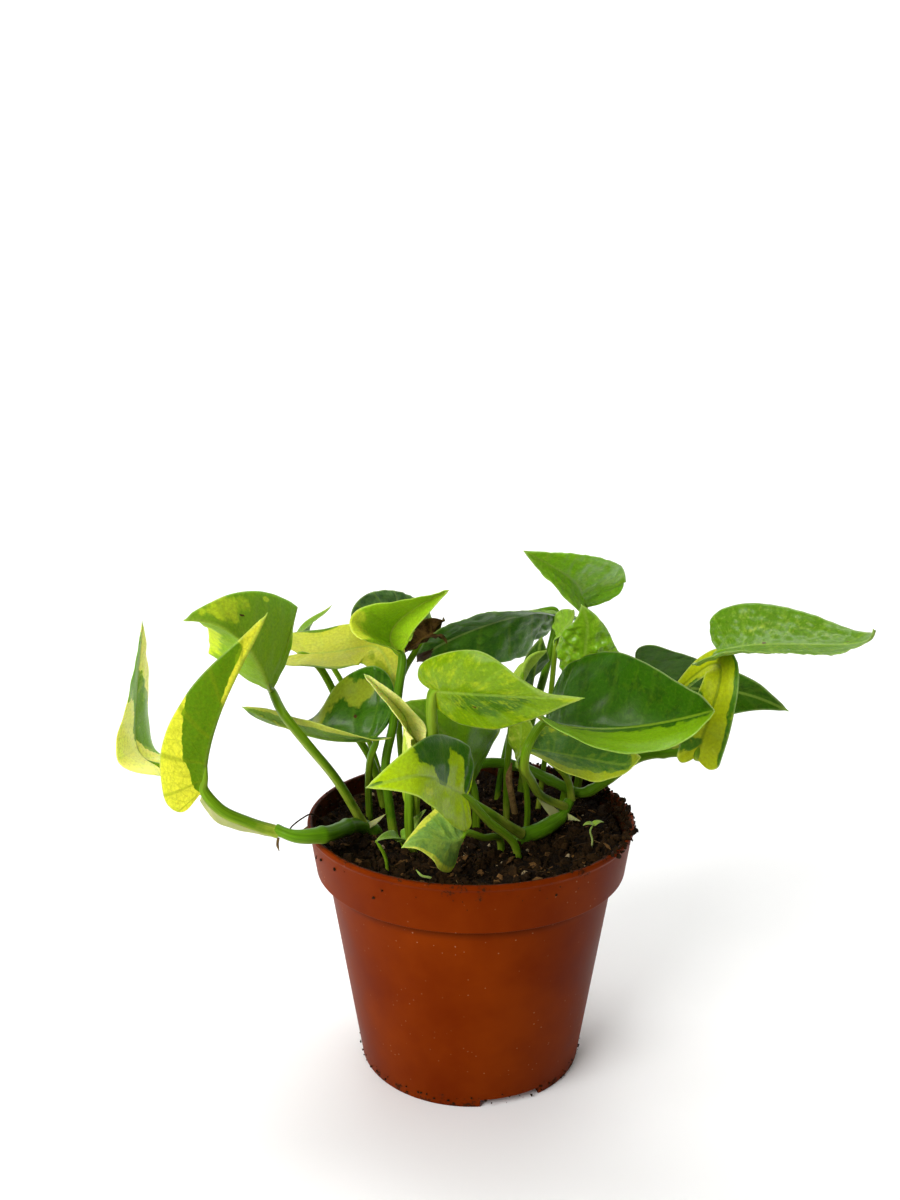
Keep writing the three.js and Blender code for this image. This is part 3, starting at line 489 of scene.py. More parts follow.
leaves = {
    "leaf_front_small": {
        "stalk": ((11, -15, 78), (10, -16, 90), (4, -26, 95)), "thickness": 2.6,
        "midrib": ((-3, -38, 102), (-6, -45, 98), (-15, -52, 109), (-23, -59, 106)), "face": (-0.9, 0.4, 0),
        "twist": 85, "width": 24, "fold": (25, 25), "curl": (10, 0), "skew": -0.1,
        "lower": ("#98b84c", "#d8dc4c", "#78a04a"), "pale": 0.15, "dark": 0.5, "veinShow": 0.3,
        "patches": [(0.7, 1, 0.4, 0.25, {"pale": 0.8}), (0.7, -1, 0.4, 0.2, {"pale": 0.7})],
    },
    "leaf_front_variegated": {
        "stalk": ((17, -20, 78), (15, -20, 90), (6, -24, 100)), "thickness": 3,
        "midrib": ((-2, -31, 112), (-16, -45, 125), (-11, -58, 133), (-34, -61, 127)), "face": (0.8, -0.5, 0.3),
        "width": 30, "fold": (5, 5), "curl": (0, -15), "skew": 0.2, "lobe": 0.4,
        "upper": ("#a8c408", "#c4d418", "#2c6006"), "lower": ("#7c9a28", "#b0bc34", "#3f6a14"), "pale": 0.15,
        "dark": 0, "wax": 0.5, "roughness": 0.28, "fleck": 0,
        "patches": [(0.64, 0.8, 0.12, 0.5, {"dark": 1.3}), (0.6, 0.15, 0.07, 0.3, {"dark": 0.9}),
                    (0.26, 0.8, 0.14, 0.45, {"dark": 1.2}), (0.46, 1, 0.16, 0.22, {"dark": 1}),
                    (0.2, 0.3, 0.1, 0.3, {"dark": 0.9}), (0.98, 0.3, 0.05, 1, {"dark": 0.7}),
                    (0.7, -0.6, 0.15, 0.3, {"dark": -0.4, "pale": 0.3})],
    },
    "leaf_centre": {
        "vine": "vine_right", "stalk": ((18, -9, 89), (7, -18, 100), (-2, -22, 108), (-12, -28, 128)),
        "thickness": 3.8, "midrib": ((-13, -39, 152), (-5, -48, 154), (8, -55, 155), (34, -60, 156)),
        "face": (-0.6, -0.6, -0.5), "twist": 5, "width": 29, "fold": (5, 5), "curl": (-60, 0),
        "pinch": (0.85, 0.3), "belly": 1,
        "upper": ("#698a04", "#98aa10", "#40660e"), "pale": 0.3, "dark": 0, "streak": 1.3, "softness": 0.22,
        "wax": 0.2, "fleck": 0.5, "veinShow": 0.2,
        "patches": [(0.55, 0.35, 0.16, 0.4, {"dark": 0.95, "pale": -0.6}),
                    (0.72, 0.2, 0.12, 0.35, {"dark": 0.7, "pale": -0.4}),
                    (0.5, 0.35, 0.012, 0.03, {"brown": 1.2}), (0.85, -0.6, 0.15, 0.3, {"dark": 0.4}),
                    (0.25, 0.3, 0.15, 0.4, {"dark": 0.3}), (0.95, 0, 0.04, 1, {"pale": 0.6})],
    },
    "leaf_dark_gloss": {
        "vine": "vine_right",
        "stalk": ((35, 4, 94), (26, -3, 101), (21, -15, 112), (18, -25, 121), (19, -27, 129)), "thickness": 3.2,
        "midrib": ((25, -22, 136), (47, -32, 131), (80, -42, 147), (74, -60, 152)), "face": (0.1, -0.1, 1),
        "twist": 70, "width": 61, "fold": (35, 35), "curl": (-10, 0), "lobe": 0.3,
        "upper": ("#2c5606", "#6c9406", "#224606"), "pale": 0, "dark": 0.45, "wax": 0.25, "roughness": 0.3,
        "veinShow": 0.05, "netShow": 0.03, "fleck": 0.12, "midribShow": 0.6, "midribColour": "#7f9c20",
        # Its patches paint one half of the fold lighter and the other darker: painted light and painted shade.
        "patches": [(0.6, 0.9, 0.7, 0.75, {"pale": 1.3, "dark": -0.8}), (0.5, -0.9, 0.6, 0.7, {"pale": -0.5})],
    },
    "leaf_arched_right": {
        "vine": "vine_trailing", "stalk": ((82, -10, 120), (82, -16, 121)), "thickness": 3,
        "midrib": ((77, -24, 124), (81, -26, 144), (98, -18, 177), (67, -2, 133)), "face": (-0.3, -1, 0.1),
        "twist": -70, "width": 15, "fold": (25, 5), "skew": 0.1, "lobe": 0.3,
        "upper": ("#a2ad10", "#b9c02c", "#3c6a0a"), "pale": 0.3, "dark": 0, "streak": 0.5, "midribShow": 0.5,
        "midribColour": "#4a6a0c",
        "patches": [(0.45, -0.9, 0.12, 0.4, {"dark": 1.1}), (0.32, -0.3, 0.06, 0.4, {"dark": 0.9}),
                    (0.55, 1, 0.12, 0.3, {"dark": 1}), (0.35, 1, 0.1, 0.2, {"dark": 0.8}),
                    (0.8, -0.9, 0.15, 0.3, {"dark": 0.6})],
    },
    "leaf_rolled_pale": {
        "stalk": ((-20, -14, 78), (-22, -18, 95)), "thickness": 3.4,
        "midrib": ((-21, -20, 127), (-23, -16, 138), (-22, -24, 138), (-36, -33, 156)),
        "face": (0.2, -0.9, 0.4), "twist": 25, "width": 22, "fold": (55, 60), "curl": (45, 25), "skew": -0.1,
        "upper": ("#8aa42c", "#e8e884", "#4f7a1c"), "lower": ("#8aa42c", "#ecec88", "#5c8426"), "pale": 0.85,
        "dark": 0, "fleck": 0, "glow": 0.4,
        "patches": [(0.12, 0, 0.2, 1.5, {"pale": -0.7}), (0.9, 0, 0.2, 1, {"pale": 0.2})],
    },
    "leaf_left_front": {
        "vine": "vine_left", "stalk": ((-66, -33, 100), (-76, -34, 104), (-85, -35, 109)), "thickness": 4,
        "midrib": ((-91, -34, 116), (-90, -39, 141), (-72, -43, 166), (-65, -47, 180)),
        "face": (-0.9, 0.5, 0.1), "width": 39, "fold": (40, 55), "curl": (15, 45), "skew": -0.2, "lobe": 0.9,
        "upper": ("#7c9c14", "#b8c030", "#48700a"), "lower": ("#70900a", "#c6c430", "#507404"), "pale": 0.9,
        "dark": 0.3, "fleck": 0, "softness": 0.025, "streak": 0.35, "blotch": 0.5, "glow": 0.5, "netShow": 0.28,
        "veinShow": 0.5, "veinColour": "#6a7c08", "roughness": 0.4,
        "patches": [(0.72, 0.7, 0.13, 0.5, {"pale": -1.2, "dark": 0.6}),
                    (0.55, 0.25, 0.12, 0.36, {"pale": -1.2, "dark": 0.8}),
                    (0.38, 0.05, 0.12, 0.24, {"pale": -1.2, "dark": 0.8}),
                    (0.2, -0.05, 0.1, 0.22, {"pale": -1.2, "dark": 0.7})],
    },
    "leaf_variegated_low": {
        "vine": "vine_right", "stalk": ((38, 8, 95), (36, 8, 104), (28, 2, 114)), "thickness": 2.8,
        "midrib": ((22, -8, 121), (54, -13, 117), (54, -17, 116), (57, -30, 126)), "face": (0.1, -0.1, 1),
        "twist": 55, "width": 32, "fold": (10, 20), "curl": (-5, 0), "lobe": 0.5,
        "upper": ("#6c8c2c", "#a8b424", "#447026"), "pale": 0.15, "dark": 0.6, "veinShow": 0.25,
        "patches": [(0.6, 1, 0.5, 0.35, {"pale": 1, "dark": -0.8}), (0.92, -0.95, 0.1, 0.5, {"pale": 1}),
                    (0.95, 0, 0.06, 1, {"pale": 0.7}), (0.35, -0.8, 0.2, 0.4, {"pale": 0.4})],
    },
    "leaf_top_left": {
        "vine": "vine_left", "stalk": ((-39, -4, 90), (-48, -14, 112), (-57, -20, 127), (-65, -20, 138)),
        "thickness": 3.4, "midrib": ((-71, -7, 143), (-71, -20, 148), (-72, -32, 176), (-92, -45, 177)),
        "face": (-0.4, 0.3, 0.9), "width": 56, "fold": (50, 50), "curl": (5, 10), "skew": -0.1,
        "upper": ("#5f9022", "#a6b62a", "#47761a"), "lower": ("#84ac24", "#c8d830", "#6a981e"), "pale": 0,
        "dark": 0.25, "fleck": 0.12, "softness": 0.12, "glow": 0.45, "midribShow": 0.7,
        "midribColour": "#98b43c", "veinShow": 0.32, "netShow": 0.16,
        "patches": [(0.85, -0.75, 0.12, 0.45, {"dark": -0.5, "pale": 0.8}),
                    (0.88, -0.7, 0.016, 0.045, {"pale": 1.2}), (0.67, -0.9, 0.016, 0.045, {"pale": 1.2}),
                    (0.78, -0.55, 0.012, 0.03, {"brown": 1.1}), (0.6, 0.95, 0.3, 0.22, {"pale": 0.75}),
                    (0.75, 0.7, 0.08, 0.25, {"pale": 0.45}), (0.2, -0.9, 0.2, 0.12, {"pale": 0.4})],
    },
    "leaf_far_left": {
        "vine": "vine_left", "stalk": ((-60, -32, 98), (-76, -22, 98), (-91, -6, 98), (-110, 10, 106)),
        "thickness": 2.6, "midrib": ((-121, 18, 106), (-132, 21, 110), (-128, 22, 119), (-123, 22, 161)),
        "face": (0.4, 0.1, 0.9), "twist": 5, "width": 39, "fold": (15, 15), "curl": (-25, -45),
        "upper": ("#98bc1c", "#fffa78", "#7cac10"), "lower": ("#a8c82c", "#fffc80", "#80ac20"), "pale": 0.95,
        "dark": 0.25, "fleck": 0, "softness": 0.03, "glow": 0.6,
        "patches": [(0.8, -1, 0.13, 0.5, {"pale": -1.3, "dark": 0.7}),
                    (0.84, -0.35, 0.14, 0.25, {"pale": -1.1, "dark": 0.5}),
                    (0.64, 0.15, 0.16, 0.4, {"pale": -1.3, "dark": 0.5}),
                    (0.48, 0.6, 0.14, 0.35, {"pale": -1.2, "dark": 0.5}),
                    (0.3, 0.95, 0.1, 0.2, {"pale": -0.8})],
    },
    "leaf_bright_folded": {
        "stalk": ((-27, -5, 78), (-30, -4, 100), (-31, -4, 114), (-28, -3, 129), (-26, -3, 142)),
        "thickness": 3.4, "midrib": ((-25, 0, 154), (-39, 13, 159), (-16, 6, 173), (-8, -8, 179)),
        "face": (-0.1, -0.4, 0.9), "twist": 5, "width": 34, "fold": (62, 50), "curl": (-20, -20), "skew": -0.4,
        "lobe": 0,
        "upper": ("#98c01c", "#c8d434", "#70a014"), "lower": ("#8cb41c", "#c0cc34", "#649410"), "fleck": 0.2,
        "softness": 0.12, "midribShow": 0.7, "midribColour": "#b4c848",
        "patches": [(0.45, -1, 0.14, 0.35, {"pale": 0.75}), (0.5, 0.6, 0.6, 0.5, {"dark": -0.3, "pale": 0.22})],
    },
    "leaf_left_low": {
        "stalk": ((-38, 14, 78), (-38, 6, 100), (-36, -8, 118)), "thickness": 2.6,
        "midrib": ((-34, -10, 126), (-52, -9, 124), (-58, -18, 129), (-83, 1, 134)), "face": (-0.1, 0, 1),
        "twist": 65, "width": 41, "fold": (15, 15), "curl": (10, 50), "skew": 0.4, "lobe": 0.8,
        "upper": ("#3c6a0c", "#98a428", "#285408"), "pale": 0.05, "dark": 0.45, "wax": 0.3, "roughness": 0.28,
        "fleck": 0,
        "patches": [(0.5, 0.95, 0.07, 0.3, {"pale": 0.75}), (0.38, 0.72, 0.07, 0.2, {"pale": 0.75}),
                    (0.62, 0.75, 0.06, 0.3, {"pale": 0.65}), (0.74, 0.1, 0.1, 0.6, {"pale": 0.5}),
                    (0.42, 0.45, 0.012, 0.03, {"brown": 1.2}), (0.5, -0.95, 0.5, 0.3, {"pale": 1}),
                    (0.9, 0, 0.1, 1, {"pale": 0.3})],
    },
    "leaf_behind_right": {
        "vine": "vine_trailing", "stalk": ((58, 8, 109), (61, 14, 124)), "thickness": 2.8,
        "midrib": ((64, 23, 141), (96, 42, 122), (97, 38, 136), (123, 27, 124)), "face": (0.3, -0.9, -0.4),
        "twist": -20, "width": 36, "fold": (10, 10), "curl": (35, 0), "lobe": 1.1,
        "upper": ("#325c06", "#688012", "#264a04"), "pale": 0, "dark": 0.4, "veinShow": 0.08,
    },
    "leaf_yellow_arch": {
        "stalk": ((-32, 24, 78), (-38, 23, 105), (-46, 24, 119), (-58, 27, 142)), "thickness": 3.2,
        "midrib": ((-64, 23, 148), (-34, 27, 146), (-35, 24, 163), (-26, 7, 133)), "face": (0.1, -0.2, 1),
        "twist": 30, "width": 29, "fold": (10, 10),
        "upper": ("#8c9a1c", "#b4b634", "#587a10"), "lower": ("#6a8e18", "#b4b838", "#4c7414"), "pale": 0.95,
        "dark": 0, "glow": 0.4,
        "patches": [(0.85, 0.5, 0.2, 0.7, {"pale": -0.55}), (0.42, -1, 0.1, 0.14, {"pale": -1.2, "dark": 1.2}),
                    (0.45, 1, 0.12, 0.12, {"pale": -1.2, "dark": 0.8}),
                    (0.93, 1, 0.08, 0.3, {"pale": -1.1, "dark": 0.8})],
    },
    "leaf_young_left": {
        "stalk": ((-33, 33, 78), (-37, 37, 100), (-56, 48, 138)), "thickness": 2.2,
        "midrib": ((-68, 49, 149), (-64, 40, 158), (-58, 42, 158), (-54, 45, 162)), "face": (0.8, -0.2, -0.6),
        "twist": -5, "width": 11, "fold": (30, 30), "curl": (-15, -15),
        "upper": ("#6f9c18", "#d4d88c", "#4f7d10"), "pale": 0, "dark": 0.3,
        "patches": [(0.95, 0, 0.08, 1, {"pale": 1})],
    },
    "leaf_back_round": {
        "stalk": ((-22, 28, 78), (-27, 34, 105), (-27, 44, 132)), "thickness": 2.6,
        "midrib": ((-19, 51, 147), (-28, 40, 157), (-44, 29, 168), (-44, 18, 160)), "face": (-0.6, 0.8, 0.3),
        "twist": 5, "width": 32, "fold": (45, 45), "curl": (5, 15),
        "upper": ("#548034", "#8cac50", "#3c6430"), "lower": ("#55783c", "#86a854", "#3f6030"), "pale": 0,
        "dark": 0.5, "fleck": 0.05, "wax": 0.4, "roughness": 0.3, "veinShow": 0.3, "pucker": 0.4,
        "crinkle": 0.3,
        "patches": [(0.3, -0.9, 0.25, 0.3, {"pale": 0.6})],
    },
    "leaf_back_long": {
        "stalk": ((20, 36, 78), (24, 42, 110), (31, 42, 140)), "thickness": 3.2,
        "midrib": ((34, 45, 159), (22, 41, 162), (-14, 41, 149), (-21, 51, 137)), "face": (-0.1, -0.4, -0.9),
        "twist": 55, "width": 48, "fold": (20, 20), "curl": (0, -5), "skew": -0.1, "lobe": 0.6,
        "upper": ("#548428", "#90b048", "#426f24"), "pale": 0, "dark": 0.5, "wax": 0.3, "roughness": 0.28,
        "pucker": 0.5, "crinkle": 0.2, "fleck": 0.05, "midribShow": 0.8, "midribColour": "#9fb66a",
        "veinShow": 0.22,
        "patches": [(0.97, 0, 0.06, 1.5, {"brown": 1.2})],
    },
    "leaf_far_right": {
        "vine": "vine_trailing", "stalk": ((74, -2, 118), (84, 6, 130), (88, 4, 146)), "thickness": 3,
        "midrib": ((85, -16, 159), (98, -25, 168), (135, -34, 161), (127, -44, 174)), "face": (-0.5, 0, 0.8),
        "twist": 5, "width": 36, "fold": (10, 10), "curl": (40, 25), "lobe": 0.5,
        "upper": ("#547c10", "#93a83a", "#3c660c"), "dark": 0.25, "veinShow": 0.22, "wax": 0.3, "fleck": 0.35,
        "pucker": 0.35, "crinkle": 0.25,
        "patches": [(0.5, -0.45, 0.12, 0.35, {"pale": 0.35}), (0.55, -0.05, 0.012, 0.035, {"brown": 1.2}),
                    (0.85, -0.3, 0.012, 0.03, {"brown": 0.9})],
    },
    "leaf_top_right": {
        "stalk": ((40, 30, 78), (46, 33, 110), (49, 35, 140)), "thickness": 3.2,
        "midrib": ((43, 22, 166), (38, 20, 173), (48, 16, 174), (18, -3, 192)), "face": (0.7, -0.6, 0.3),
        "twist": -30, "width": 33, "fold": (40, 40), "curl": (10, 10), "skew": 0.1, "lobe": 0.6,
        "upper": ("#80b41c", "#b0cc3c", "#649c10"), "veinShow": 0.28, "dark": 0.25, "wax": 0.5,
        "roughness": 0.28, "pucker": 0.45, "crinkle": 0.22, "fleck": 0.4,
    },
    "leaf_crumpled": {
        "stalk": ((34, 20, 78), (38, 20, 100), (42, 16, 122)), "thickness": 3,
        "midrib": ((43, 5, 144), (38, -1, 161), (44, -5, 162), (38, -8, 174)), "face": (-0.3, -0.9, -0.4),
        "twist": 10, "width": 26, "fold": (0, 0), "curl": (-45, -20),
        "upper": ("#6f9c14", "#a8bf3a", "#4b7c0c"), "pale": 0.15, "dark": 0.3, "wax": 0.55, "roughness": 0.26,
        "pucker": 0.9, "crinkle": 0.55, "fleck": 0.35,
    },
    "leaf_small_crumpled": {
        "stalk": ((26, 24, 78), (29, 24, 105), (31, 22, 135)), "thickness": 2.2,
        "midrib": ((32, 14, 157), (34, 12, 162), (38, 9, 164), (37, 6, 169)), "face": (-0.9, 0.1, 0.4),
        "twist": 30, "width": 14, "fold": (10, 10), "curl": (30, 5), "skew": -0.2, "lobe": 0.7,
        "upper": ("#7aa02a", "#a8bc4c", "#527f18"), "pale": 0.2, "dark": 0.1, "pucker": 0.5, "crinkle": 0.4,
    },
    "leaf_bright_behind": {
        "stalk": ((2, 4, 78), (2, 2, 95)), "thickness": 3,
        "midrib": ((1, 4, 104), (-2, -6, 112), (-5, -12, 130), (-24, -16, 141)), "face": (0.9, -0.5, -0.2),
        "twist": -5, "width": 43, "fold": (-10, -10), "curl": (-5, 20), "skew": 0.1, "lobe": 0.5,
        "upper": ("#6c9a0c", "#a8c024", "#4a7c0a"), "lower": ("#6c9418", "#a8b834", "#4c7814"), "wax": 0.4,
        "patches": [(0.5, 1, 0.5, 0.2, {"pale": 0.6}), (0.5, -1, 0.5, 0.2, {"pale": 0.5})],
    },
    "leaf_inner_small": {
        "stalk": ((20, 2, 78), (21, 0, 93), (20, 0, 106)), "thickness": 2.2,
        "midrib": ((17, -4, 115), (19, -1, 124), (18, 2, 130), (18, 0, 135)), "face": (-1, 0, 0.1), "twist": 85,
        "width": 17, "fold": (10, 10), "curl": (-30, -5), "lobe": 0.8,
        "upper": ("#7c9a1c", "#b0be44", "#4f7c10"), "pale": 0.35, "dark": 0.1,
    },
    "leaf_rolled_centre": {
        "stalk": ((14, 13, 78), (14, 13, 105), (16, 10, 130)), "thickness": 2.6,
        "midrib": ((18, -4, 146), (19, 5, 154), (27, 9, 152), (28, 13, 152)), "face": (-0.1, 0.6, -0.8),
        "twist": -35, "width": 11, "fold": (55, 55), "curl": (40, 0), "skew": 0.1,
        "upper": ("#8ca42c", "#b2c05c", "#5f861c"), "lower": ("#8fa838", "#b8c46c", "#6c902c"), "pale": 0.35,
        "dark": 0,
    },
    "leaf_back_dark": {
        "stalk": ((10, 30, 78), (13, 32, 100), (18, 32, 120)), "thickness": 2.4,
        "midrib": ((23, 31, 131), (25, 24, 145), (24, 23, 140), (27, 22, 155)), "face": (-1, 0.1, 0.2),
        "twist": -80, "width": 20, "fold": (10, 10), "curl": (-35, -15),
        "upper": ("#34580c", "#6c8a2c", "#264608"), "lower": ("#385c16", "#6c8a38", "#2c4c10"), "pale": 0,
        "dark": 0.4,
    },
}
darkStalks = ("leaf_bright_folded", "leaf_back_long", "leaf_behind_right", "leaf_back_dark", "leaf_left_low")

for index, (name, own) in enumerate(leaves.items()):
    leaf = {**usualLeaf, **own, "name": name, "seed": 1.7 * index}
    # The stalk runs on under the midrib, and thins out there
    place, along, face, across, length = midribFrames(leaf)
    under = [place[i] - face[i] * 0.3 * leaf["thickness"] * share for i, share in ((0, 0.5), (3, 1), (7, 0.6))]
    skin = darkSkin if name in darkStalks else greenSkin
    stalk = stalkMesh([*leaf["stalk"], *under], leaf["thickness"], skin, {
        "End share": 0.25, "End reach": 0.22 * length * mm + 2 * mm,
        "Foot swell": 0.12 if "vine" in leaf else 0.3})
    finishPiece(name + "_piece", [grownBlade(leaf), stalk], "leaf", name)
print("leaves grown:", len(leaves))

# Vines: points along the middle of each stem, from its end in the soil, as in the CAD.
vines = {
    "vine_left": {"thickness": 5.6, "points": (
        (-32, 4, 76), (-35, 0, 85), (-41, -6, 91), (-51, -28, 97), (-60, -34, 99), (-67, -33, 101))},
    "vine_right": {"thickness": 6, "points": (
        (13, -8, 76), (18, -7, 86), (26, -5, 89), (33, 2, 91), (37, 7, 95))},
    "vine_trailing": {"thickness": 4, "points": (
        (-14, 24, 76), (-6, 22, 96), (4, 20, 105), (20, 22, 103), (32, 17, 99), (42, 13, 96), (51, 10, 102),
        (63, 6, 113), (81, -8, 120))},
}
for name, vine in vines.items():
    stem = stalkMesh(vine["points"], vine["thickness"], vineSkin, {
        "Joint spacing": 17 * mm, "Joint offset": 13 * mm, "Joint swell": 0.16, "Joint width": 1.6 * mm,
        "Channel": 0.08, "End share": 0.66, "End reach": 15 * mm, "Foot swell": 0.1})
    finishPiece(name + "_piece", [stem], "stem", name)
print("vines grown:", len(vines))

potSet = {"height": 93, "rim": 60, "band": 18, "bandBottom": 56.8, "bodyTop": 53, "foot": 41, "footHeight": 3,
          "footWidth": 2.6, "wall": 1.6, "floor": 1.8, "sides": 192, "notches": 3, "notchWidth": 22.5,
          "notchAngle": -70, "drainHole": 4.5, "drainCircle": 29}
bandBottom = potSet["height"] - potSet["band"]
floorTop = potSet["footHeight"] + potSet["floor"]


# A profile of (radius, height) turned about the pot's axis; a radius of 0 closes it there.
def turnedMesh(profile, sides):
    points, faces, rings = [], [], []
    for radius, height in profile:
        start, count = len(points), sides if radius else 1
        rings.append([start + k % count for k in range(sides)])
        turns = [2 * math.pi * k / sides for k in range(count)]
        points += [(radius * math.cos(turn), radius * math.sin(turn), height) for turn in turns]
    for a, b in zip(rings, rings[1:]):
        for k in range(sides):
            after = (k + 1) % sides
            faces.append(tuple(dict.fromkeys((a[k], a[after], b[after], b[k]))))
    return meshOf(np.array(points) * mm, faces)


# The pot's inner radius at a height below the band.
def potInner(height):
    return potSet["foot"] - potSet["wall"] + height / bandBottom * (potSet["bodyTop"] - potSet["foot"])


# Rounds a profile's corners with small arcs.
def rounded(profile, radius, steps=4):
    made = [profile[0]]
    for a, b, c in zip(profile, profile[1:], profile[2:]):
        a, b, c = (np.array(p, float) for p in (a, b, c))
        before, after = a - b, c - b
        cut = min(radius, np.linalg.norm(before) * 0.45, np.linalg.norm(after) * 0.45)
        start, stop = b + unit(before) * cut, b + unit(after) * cut
        made += [tuple((1 - t) ** 2 * start + 2 * t * (1 - t) * b + t * t * stop)
                 for t in np.linspace(0, 1, steps + 1)]
    return made + [profile[-1]]


def potMesh():
    p = potSet
    footInner = p["foot"] - p["footWidth"]
    body = [(potInner(z) + p["wall"], z) for z in (1.2, 3.6, 6, 12, 24, 36, 48, 60, 70)]
    profile = [
        (0, p["footHeight"]), (footInner, p["footHeight"]), (footInner, 0), (p["foot"], 0), *body,
        (p["bodyTop"], bandBottom - 1.4), (p["bandBottom"], bandBottom), (p["rim"] - 0.8, p["height"] - 2.4),
        (p["rim"], p["height"] - 1.2), (p["rim"] - 0.4, p["height"]), (p["rim"] - 2, p["height"]),
        (p["bandBottom"] - p["wall"], bandBottom + 1), (potInner(bandBottom - 1), bandBottom - 1),
        (potInner(floorTop), floorTop), (0, floorTop)]
    pot = addObject("pot", turnedMesh(rounded(profile, 0.4), p["sides"]))
    # Drain notches through the foot ring, and a drain hole beside each
    box = [(3, 2, 1, 0), (4, 5, 6, 7), (0, 1, 5, 4), (1, 2, 6, 5), (2, 3, 7, 6), (3, 0, 4, 7)]
    cutters = []
    for i in range(p["notches"]):
        turn = math.radians(p["notchAngle"] + i * 360 / p["notches"])
        out = np.array((math.cos(turn), math.sin(turn), 0))
        aside = np.array((-out[1], out[0], 0)) * p["notchWidth"] / 2
        corners = [(out * r + aside * s + (0, 0, z)) * mm
                   for z in (-1, p["footHeight"]) for r, s in ((34, -1), (48, -1), (48, 1), (34, 1))]
        cutters.append(addObject("notch", meshOf(corners, box)))
        hole = addObject("drain", turnedMesh([(0, -4), (p["drainHole"], -4), (p["drainHole"], 4), (0, 4)], 32))
        hole.location = (out * p["drainCircle"] + (0, 0, floorTop)) * mm
        cutters.append(hole)
    for cutter in cutters:
        cut = pot.modifiers.new("cut", "BOOLEAN")
        cut.object, cut.operation, cut.solver = cutter, "DIFFERENCE", "EXACT"
    mesh = bakedMesh(pot)
    for cutter in cutters:
        bpy.data.objects.remove(cutter)
    mesh.shade_smooth()
    return mesh


# Injection-moulded polypropylene, terracotta brown: an even satin skin, faint wipe marks, dust and peat, and
# painted shade under the band.
def potMaterial():
    material, node = newMaterial("Moulded polypropylene, terracotta brown")
    place = node("TexCoord").outputs["Object"]
    height = node("SeparateXYZ", place).outputs["Z"]
    cloud = node("TexNoise", Vector=place, Scale=28, Detail=4, Roughness=0.6)
    grain = node("TexNoise", Vector=place, Scale=900, Detail=2)
    splash = node("TexNoise", Vector=place, Scale=260, Detail=5, Roughness=0.75)
    # Peat splashed under the rim and round the foot
    nearRim = node("MapRange", height, 80 * mm, 93 * mm, 0, 0.16, **smooth)
    nearFoot = node("MapRange", height, 0, 9 * mm, 0.2, 0, **smooth)
    soiled = node("Math", splash, node("Math", nearRim, nearFoot, operation="MAXIMUM"), operation="ADD")
    soiled = node("MapRange", soiled, 0.7, 0.8, 0, 0.85, **smooth)
    # The inside of the band is soiled all over; it lies inside a cone 1.5 mm within the outer face
    radius = node("VectorMath", node("VectorMath", place, (1, 1, 0), operation="MULTIPLY"), operation="LENGTH")
    within = node("Math", height, -0.178, radius, operation="MULTIPLY_ADD")
    within = node("Math", within, 42.2 * mm, operation="LESS_THAN")
    inBand = node("Math", height, 75.5 * mm, operation="GREATER_THAN")
    inside = node("Math", node("Math", within, inBand, operation="MULTIPLY"),
                  node("MapRange", splash, 0.3, 0.6, 0.55, 0.95), operation="MULTIPLY")
    # Painted shade: darker in the corner under the band, where the band's shadow falls
    corner = node("Math", node("MapRange", height, 69.5 * mm, 73.8 * mm, **smooth),
                  node("MapRange", height, 74.6 * mm, 75.2 * mm, 0.6, 0), operation="MULTIPLY")
    # Dust: pale specks 0.2 to 0.4 mm across, a few to the square centimetre
    dust = node("TexVoronoi", Vector=place, Scale=700)
    chosen = node("Math", node("SeparateXYZ", dust.outputs["Color"]), 0.9, operation="GREATER_THAN")
    chosen = node("Math", chosen, node("Math", dust, 0.2, operation="LESS_THAN"), operation="MULTIPLY")
    speck = node("Math", chosen, node("MapRange", cloud, 0.4, 0.7, 0, 0.3), operation="MULTIPLY")
    colour = linear("#611e01")
    # The corner layer paints the band's shadow onto the body.
    layers = ((node("MapRange", cloud, 0.35, 0.65), "#722a03"), (soiled, "#2e1a0e"), (inside, "#24160b"),
              (corner, "#2a0e02"), (speck, "#c9a184"))
    for share, tone in layers:
        colour = node("Mix", share, colour, linear(tone), data_type="RGBA")
    roughness = node("Math", node("MapRange", cloud, 0.3, 0.7, 0.36, 0.5),
                     node("Math", soiled, 0.95, operation="MULTIPLY"), operation="MAXIMUM")
    relief = node("Math", grain, 0.12, node("Math", soiled, speck, operation="ADD"), operation="MULTIPLY_ADD")
    shader = node("BsdfPrincipled", Base_Color=colour, Roughness=roughness, Specular_IOR_Level=0.025,
                  Specular_Tint=linear("#ff8c46"), Subsurface_Weight=0.05, Subsurface_Radius=(1, 0.35, 0.15),
                  Subsurface_Scale=1 * mm, Normal=node("Bump", Height=relief, Strength=0.4, Distance=0.12 * mm))
    node("OutputMaterial", shader)
    return material


pot = potMesh()
pot.materials.append(potMaterial())
finishPiece("pot_piece", [pot], "pot", "pot")
print("pot turned")

soilSet = {"height": 85, "edgeRise": 3, "lumps": 0.9, "rings": 110, "sides": 260, "clearance": 0.3}


# The CAD's own lumpy top, with crumbs and hollows a few tenths of a millimetre to two millimetres high on it.
def soilTop(x, y):
    reach = math.hypot(x, y) / potSet["rim"]
    lumps = math.sin(x * 0.31 + y * 0.12) + math.sin(y * 0.37 - x * 0.17) + math.sin((x + y) * 0.23)
    height = soilSet["height"] + soilSet["edgeRise"] * reach ** 3 + soilSet["lumps"] * lumps / 2
    spot = Vector((x, y, 0))
    height += 1.5 * noise.fractal(spot * 0.14, 0.8, 2.1, 5)
    return height + 0.6 * abs(noise.noise(spot * 0.9)) + 0.3 * noise.noise(spot * 2.1)


def onSoil(x, y, lift=0.0):
    return (x, y, soilTop(x, y) + lift)


